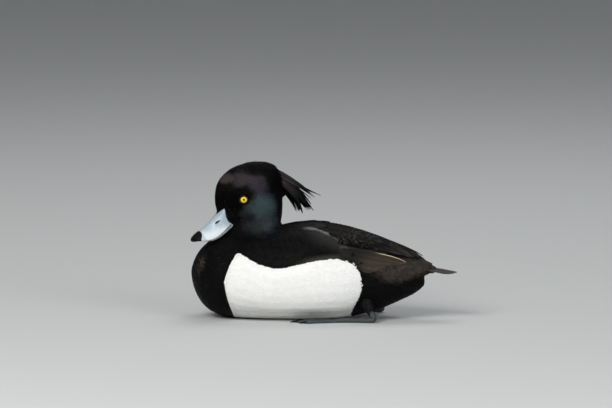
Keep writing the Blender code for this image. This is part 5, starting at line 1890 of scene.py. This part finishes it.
def makeNail():
    # a shell over the tip, whose rear edge curves back along the middle
    d = billDetail
    table = billShape["upper"]
    stations = [rowAt(table, (len(table) - 1) * i / 240) for i in range(241)]
    alongs = [row[0] for row in stations]
    end = alongs[-1]

    def surface(s, j, grow):
        row = [float(np.interp(s, alongs, [r[k] for r in stations])) for k in range(5)]
        return billRing(row, 48, True, grow)[j]

    rings = []
    count = 26
    for i in range(count):
        share = i / (count - 1)
        ring = []
        for j in range(48):
            turn = math.tau * j / 48
            start = billShape["nailFrom"] + d["nailRear"] * math.sin(turn) ** 4
            s = mix(start, end + 0.05, share**0.9)
            grow = -0.5 + (d["nailGrow"] + 0.5) * float(rampUp(0.0, 0.10, share))
            spot = surface(s, j, grow)
            spot.x += 0.35 * float(rampUp(0.7, 1.0, share))
            ring.append(billPlace @ spot)
        rings.append(ring)
    return loft("billNail", rings)


def makeBillMaterial():
    made, tree, shader = newMaterial("billHorn", Coat_Weight=0.18, Coat_Roughness=0.25, IOR=1.5)
    place = addNode(tree, "ShaderNodeTexCoord").outputs["Object"]
    broad = noiseAt(tree, place, 70.0, 4.0)
    fine = noiseAt(tree, place, 420.0, 3.0, Roughness=0.6)
    colour = blendColour(
        tree, fadeOver(tree, broad.outputs["Fac"], 0.32, 0.68), (0.33, 0.42, 0.475), (0.44, 0.53, 0.585)
    )
    pits = fadeOver(tree, fine.outputs["Fac"], 0.35, 0.55, 1.0, 0.0)
    colour = blendColour(tree, times(tree, pits, 0.22), colour, (0.17, 0.215, 0.25))
    # own axes of the bill in millimetres: painted reflection low on its sides, painted shade on the ridge,
    # greyer at its base
    turn = billPlace.to_3x3().inverted()
    euler = turn.to_euler("XYZ")
    shift = turn @ billPlace.translation
    own = addNode(tree, "ShaderNodeMapping", {"Vector": place})
    own.inputs["Scale"].default_value = (1 / mm,) * 3
    own.inputs["Rotation"].default_value = tuple(euler)
    own.inputs["Location"].default_value = tuple(-shift)
    parts = addNode(tree, "ShaderNodeSeparateXYZ", {"Vector": own.outputs["Vector"]})
    # painted reflected light: paler low on the sides
    low = fadeOver(tree, calc(tree, "MULTIPLY_ADD", parts.outputs["X"], 0.25, parts.outputs["Z"]), 11.0, 20.0)
    colour = blendColour(tree, times(tree, low, 0.85), colour, (0.78, 0.84, 0.85))
    # painted shade: greyer on the ridge
    ridge = fadeOver(tree, parts.outputs["Z"], 3.5, 7.0, 1.0, 0.0)
    colour = blendColour(tree, times(tree, ridge, 0.30), colour, (0.23, 0.30, 0.345))
    base = fadeOver(tree, parts.outputs["X"], 0.0, 5.0, 1.0, 0.0)
    colour = blendColour(tree, times(tree, base, 0.25), colour, (0.20, 0.26, 0.30))
    tip = fadeOver(tree, parts.outputs["X"], 26.5, 29.5)
    colour = blendColour(tree, times(tree, tip, 0.35), colour, (0.10, 0.13, 0.15))
    # painted shade in the nostril's hollow
    colour = blendColour(tree, readValue(tree, "cavity"), colour, (0.006, 0.007, 0.009))
    tree.links.new(colour, shader.inputs["Base Color"])
    tree.links.new(fadeOver(tree, broad.outputs["Fac"], 0.3, 0.7, 0.34, 0.48), shader.inputs["Roughness"])
    grain = calc(tree, "ADD", times(tree, fine.outputs["Fac"], 0.4), broad.outputs["Fac"])
    addRelief(tree, shader, grain, 0.5, 0.0003)
    return made


def makeNailMaterial():
    made, tree, shader = newMaterial("nailHorn", Specular_IOR_Level=0.1, IOR=1.45)
    place = addNode(tree, "ShaderNodeTexCoord").outputs["Object"]
    noise = noiseAt(tree, place, 260.0, 3.0)
    colour = blendColour(tree, noise.outputs["Fac"], (0.0015, 0.0016, 0.0018), (0.006, 0.0062, 0.007))
    tree.links.new(colour, shader.inputs["Base Color"])
    tree.links.new(fadeOver(tree, noise.outputs["Fac"], 0.3, 0.7, 0.48, 0.62), shader.inputs["Roughness"])
    addRelief(tree, shader, noise.outputs["Fac"], 0.4, 0.0003)
    return made


billHorn, nailHorn = makeBillMaterial(), makeNailMaterial()
finishPiece(makeBillUpper(), billHorn, "bill_grey", "bill_upper")
finishPiece(makeBillLower(), billHorn, "bill_grey", "bill_lower")
finishPiece(makeNail(), nailHorn, "nail_black", "bill_nail")
print("bill done")


# Eyes: a ball with its iris and pupil, and a ring of lids

eyeLooks = {
    "pupil": 1.2, "iris": 4.1, "bulge": 0.35, "bulgeWidth": 2.6, "rings": 40, "sides": 48, "lidSides": 64
}
hiddenReach = 9.0  # what the back of the eyeball has for its distance from the centre, past the iris


def eyeSpot(side, across, turn, outward):
    # a place round the eye, whose axis points a little forwards and up
    spot = Vector((across * math.cos(turn), side * outward, across * math.sin(turn)))
    spot = Matrix.Rotation(side * math.radians(eyeShape["tilt"]), 3, "X") @ spot
    spot = Matrix.Rotation(side * math.radians(eyeShape["turn"]), 3, "Z") @ spot
    return headMatrix @ (spot + Vector((-eyeShape["forward"], side * eyeShape["depth"], -eyeShape["drop"])))


def makeEye(side, word):
    looks, radius = eyeLooks, eyeShape["radius"]
    rings, values, spokes = [], [], []
    for i in range(1, looks["rings"]):
        slope = math.pi * i / looks["rings"]
        inFront = slope < math.pi / 2
        across, outward = radius * math.sin(slope), radius * math.cos(slope)
        if inFront:
            outward += looks["bulge"] * math.exp(-((across / looks["bulgeWidth"]) ** 2))
        ring = []
        for j in range(looks["sides"]):
            turn = math.tau * j / looks["sides"]
            ring.append(eyeSpot(side, across, turn, outward))
            values.append(across if inFront else hiddenReach)
            spokes += [math.cos(turn), math.sin(turn), across * 0.2]
        rings.append(ring)
    eye = loft("eye" + word, rings)
    # the two last points close the ball in front and behind
    values += [0.0, hiddenReach]
    spokes += [1.0, 0.0, 0.0] * 2
    eye.data.attributes.new("fromCentre", "FLOAT", "POINT").data.foreach_set("value", values)
    eye.data.attributes.new("spokes", "FLOAT_VECTOR", "POINT").data.foreach_set("vector", spokes)
    return eye


def makeLids(side, word):
    opening, sides = eyeShape["opening"], eyeLooks["lidSides"]
    profile = [  # how far outside the opening, height over the eyeball's centre
        (-0.08, 3.8), (0.12, 4.32), (0.5, 4.26), (0.95, 3.9), (1.5, 3.2), (2.2, 2.1), (1.9, 0.2), (0.4, 1.2),
    ]
    points, faces = [], []
    count = len(profile)
    for j in range(sides):
        turn = math.tau * j / sides
        # a little longer than high, with a soft corner at the front and back
        shape = math.hypot(1.04 * math.cos(turn), 0.90 * math.sin(turn)) + 0.03 * abs(math.cos(turn)) ** 6
        points += [eyeSpot(side, (opening + outside) * shape, turn, outward) for outside, outward in profile]
        here, after = j * count, ((j + 1) % sides) * count
        for k in range(count):
            beside = (k + 1) % count
            faces.append((here + k, here + beside, after + beside, after + k))
    lids = newObject("lids" + word, points, faces)
    smooth = lids.modifiers.new("smooth", "SUBSURF")
    smooth.levels = smooth.render_levels = 1
    return bakeModifiers(lids)


def makeEyeMaterial():
    made, tree, shader = newMaterial(
        "goldenEye", Coat_Weight=0.3, Coat_Roughness=0.04, Roughness=0.45, IOR=1.35
    )
    reach = readValue(tree, "fromCentre")
    spokes = addNode(tree, "ShaderNodeAttribute", attribute_name="spokes").outputs["Vector"]
    streaks = noiseAt(tree, spokes, 7.0, 4.0, Roughness=0.65)
    gold = blendColour(tree, streaks.outputs["Fac"], (0.80, 0.46, 0.004), (1.0, 0.74, 0.018))
    inner = fadeOver(tree, reach, eyeLooks["pupil"], eyeLooks["pupil"] + 0.9, 1.0, 0.0)
    gold = blendColour(tree, times(tree, inner, 0.35), gold, (0.50, 0.21, 0.003))
    rim = fadeOver(tree, reach, eyeLooks["iris"] - 0.7, eyeLooks["iris"] + 0.15)
    gold = blendColour(tree, rim, gold, (0.03, 0.016, 0.003))
    pupil = fadeOver(tree, reach, eyeLooks["pupil"] - 0.12, eyeLooks["pupil"] + 0.12, 1.0, 0.0)
    tree.links.new(blendColour(tree, pupil, gold, (0.002, 0.002, 0.002)), shader.inputs["Base Color"])
    addRelief(tree, shader, streaks.outputs["Fac"], 0.15, 0.0001)
    return made


def makeLidMaterial():
    made, tree, shader = newMaterial("lidSkin", IOR=1.45)
    place = addNode(tree, "ShaderNodeTexCoord").outputs["Object"]
    grain = addNode(tree, "ShaderNodeTexVoronoi", {"Vector": place, "Scale": 1500.0})
    colour = blendColour(tree, grain.outputs["Distance"], (0.004, 0.004, 0.005), (0.012, 0.011, 0.012))
    tree.links.new(colour, shader.inputs["Base Color"])
    tree.links.new(
        fadeOver(tree, grain.outputs["Distance"], 0.0, 0.6, 0.35, 0.55), shader.inputs["Roughness"]
    )
    addRelief(tree, shader, grain.outputs["Distance"], 0.5, 0.0002)
    return made


goldenEye, lidSkin = makeEyeMaterial(), makeLidMaterial()
for side, word in ((-1, "Left"), (1, "Right")):
    finishPiece(makeEye(side, word), goldenEye, "eye_yellow", "eye_" + word.lower())
    finishPiece(makeLids(side, word), lidSkin, "black_plumage")
print("eyes done")


# Legs and feet: folded under the flanks, with three webbed toes and a small lobed hind toe

footShape = {
    "y": 48.0, "rootX": 64.0, "heelX": 96.0, "tarsus": 2.9, "toes": [(-5.0, 44.0), (8.0, 48.0), (21.0, 40.0)],
    "toe": 2.2, "toeLift": 1.9, "webThick": 0.55, "claw": 6.5, "sides": 20, "hind": (150.0, 11.0),
    # share along a toe, and the toe's thickness there: two joints and a pad between them
    "toeSwell": [
        (-0.06, 1.1), (0.04, 1.2), (0.16, 0.92), (0.30, 0.85), (0.36, 1.08), (0.42, 0.88), (0.58, 0.78),
        (0.66, 0.98),
        (0.72, 0.80), (0.86, 0.70), (1.0, 0.45),
    ],
}


def smoothTube(name, points, radii, sides, steps=6, flat=1.0):
    # a bar through points, round or a little flattened, that stays above the floor
    table = [(*p, r) for p, r in zip(points, radii)]
    count = (len(table) - 1) * steps + 1
    path = [rowAt(table, (len(table) - 1) * i / (count - 1)) for i in range(count)]
    rings = []
    for i, (x, y, z, radius) in enumerate(path):
        after, before = path[min(i + 1, count - 1)], path[max(i - 1, 0)]
        ahead = Vector(after[:3]) - Vector(before[:3])
        across = ahead.cross(Vector((0, 0, 1))).normalized()
        up = across.cross(ahead).normalized()
        ring = []
        for j in range(sides):
            turn = math.tau * (j + 0.5) / sides
            spot = Vector((x, y, z)) + across * math.cos(turn) * radius + up * math.sin(turn) * radius * flat
            spot.z = max(spot.z, 0.0)
            ring.append(spot)
        rings.append(ring)
    return loft(name, rings)


def joinMeshes(name, pieces, values):
    # one mesh of several, each with its own value of the attribute "web"
    work = bmesh.new()
    marks = []
    for piece, value in zip(pieces, values):
        before = len(work.verts)
        work.from_mesh(piece.data)
        marks += [value] * (len(work.verts) - before)
        bpy.data.objects.remove(piece)
    mesh = bpy.data.meshes.new(name)
    work.to_mesh(mesh)
    work.free()
    mesh.attributes.new("web", "FLOAT", "POINT").data.foreach_set("value", marks)
    mesh.shade_smooth()
    made = bpy.data.objects.new(name, mesh)
    bpy.context.scene.collection.objects.link(made)
    return made


def makeWeb(start, first, second, thick):
    rows, columns = 15, 13
    points, faces = [], []
    for level in (1, 0):
        for i in range(rows):
            share = 0.10 + 0.88 * i / (rows - 1)
            for j in range(columns):
                between = j / (columns - 1)
                sag = 1 - 0.17 * math.sin(math.pi * between) * share
                spot = start.lerp(first.lerp(second, between), share * sag)
                fold = 0.32 * math.cos(between * math.tau * 2.5) * math.sin(math.pi * between) * share
                body = thick * (1.0 - 0.45 * share)
                z = 0.95 - 0.35 * math.sin(math.pi * between) + fold
                points.append(Vector((spot.x, spot.y, max(z + (body / 2 if level else -body / 2), 0.05))))
    under = rows * columns
    for i in range(rows - 1):
        for j in range(columns - 1):
            a = i * columns + j
            faces += [
                (a, a + 1, a + columns + 1, a + columns),
                (under + a, under + a + columns, under + a + columns + 1, under + a + 1)
            ]
    border = list(range(columns)) + [i * columns + columns - 1 for i in range(1, rows)]
    border += [(rows - 1) * columns + j for j in range(columns - 2, -1, -1)]
    border += [i * columns for i in range(rows - 2, 0, -1)]
    for a, b in zip(border, border[1:] + border[:1]):
        faces.append((a, under + a, under + b, b))
    return newObject("web", points, faces)


def makeFoot(side, word):
    f = footShape
    y, low = side * f["y"], f["tarsus"] - 0.25
    pieces, webs = [], []
    path = [
        (f["rootX"] - 8, y, low - 0.4), (f["rootX"], y, low), (f["rootX"] + 12, y, low),
        (f["heelX"] - 8, y, low), (f["heelX"] - 1, y, low + 1.2),
        (f["heelX"] - 2.5, y - side * 2, low + 7), (f["heelX"] - 9, y - side * 10, low + 17),
        (f["heelX"] - 15, y - side * 18, low + 27),
    ]
    pieces.append(smoothTube("tarsus", path, [2.2, 2.6, 2.2, 2.4, 3.2, 3.0, 3.9, 5.4], f["sides"]))
    root = Vector((f["rootX"], y, f["toeLift"]))
    start = root - Vector((4, 0, 0))
    tips, claws = [], []
    for degrees, length in f["toes"]:
        turn = math.radians(degrees)
        ahead = Vector((-math.cos(turn), side * math.sin(turn), 0))
        points = [start + ahead * length * share for share, _ in f["toeSwell"]]
        for point, (_, size) in zip(points, f["toeSwell"]):
            point.z = max(f["toe"] * size * 0.86, 0.9)
        pieces.append(
            smoothTube("toe", points, [f["toe"] * size for _, size in f["toeSwell"]], 16, 4, flat=0.9)
        )
        tip = points[-1]
        run = [tip - ahead * 2.2, tip + ahead * 0.8, tip + ahead * f["claw"] * 0.55, tip + ahead * f["claw"]]
        for point, z in zip(run, (1.5, 1.7, 1.35, 0.42)):
            point.z = z
        claws.append(smoothTube("claw", run, [1.05, 1.15, 0.8, 0.22], 12, 5))
        tips.append(start + ahead * length * 0.97)
    turn, length = math.radians(f["hind"][0]), f["hind"][1]
    ahead = Vector((-math.cos(turn), -side * math.sin(turn), 0))
    hind = [root + ahead * length * share + Vector((2, -side * 1.0, 0)) for share in (0.1, 0.4, 0.75, 1.0)]
    for point, z in zip(hind, (2.2, 1.7, 1.5, 1.4)):
        point.z = z
    pieces.append(smoothTube("hindToe", hind, [1.5, 1.35, 1.5, 0.8], 12, 4, flat=1.1))
    claw = [hind[-1] - ahead * 0.8, hind[-1] + ahead * 1.6, hind[-1] + ahead * 3.2]
    for point, z in zip(claw, (1.4, 1.3, 0.6)):
        point.z = z
    claws.append(smoothTube("claw", claw, [0.7, 0.6, 0.18], 10, 4))
    for first, second in zip(tips, tips[1:]):
        webs.append(makeWeb(Vector((start.x, start.y, 0)), first, second, f["webThick"]))
    foot = joinMeshes("foot" + word, pieces + webs, [0.0] * len(pieces) + [1.0] * len(webs))
    horn = joinMeshes("claws" + word, claws, [0.0] * len(claws))
    return foot, horn


def makeFootMaterial():
    made, tree, shader = newMaterial("footScales", IOR=1.45)
    place = addNode(tree, "ShaderNodeTexCoord").outputs["Object"]
    web = readValue(tree, "web")
    stretched = addNode(tree, "ShaderNodeMapping", {"Vector": place})
    stretched.inputs["Scale"].default_value = (1.0, 0.55, 1.0)
    scutes = addNode(
        tree, "ShaderNodeTexVoronoi", {"Vector": stretched.outputs["Vector"], "Scale": 620.0},
        feature="DISTANCE_TO_EDGE"
    )
    net = addNode(
        tree, "ShaderNodeTexVoronoi", {"Vector": place, "Scale": 1300.0},
        feature="DISTANCE_TO_EDGE"
    )
    slow = useGroup(tree, softVariation, Size=0.012, Seed=9.0)
    plate = fadeOver(tree, scutes.outputs["Distance"], 0.0, 0.16)
    mesh = fadeOver(tree, net.outputs["Distance"], 0.0, 0.12)
    toe = blendColour(tree, plate, (0.018, 0.022, 0.024), (0.062, 0.075, 0.080))
    toe = blendColour(tree, fadeOver(tree, slow.outputs["Value"], 0.4, 0.65), toe, (0.040, 0.049, 0.052))
    skinTone = blendColour(tree, mesh, (0.010, 0.011, 0.012), (0.026, 0.029, 0.031))
    tree.links.new(blendColour(tree, web, toe, skinTone), shader.inputs["Base Color"])
    tree.links.new(fadeOver(tree, plate, 0.0, 1.0, 0.62, 0.42), shader.inputs["Roughness"])
    onToes = times(tree, plate, calc(tree, "SUBTRACT", 1.0, web))
    addRelief(tree, shader, calc(tree, "ADD", onToes, times(tree, mesh, web, 0.5)), 0.6, 0.0003)
    return made


footScales = makeFootMaterial()
for side, word in ((-1, "Left"), (1, "Right")):
    foot, horn = makeFoot(side, word)
    finishPiece(foot, footScales, "foot_grey", "foot_" + word.lower(), "leg_" + word.lower())
    finishPiece(horn, nailHorn, "nail_black")
print("feet done")
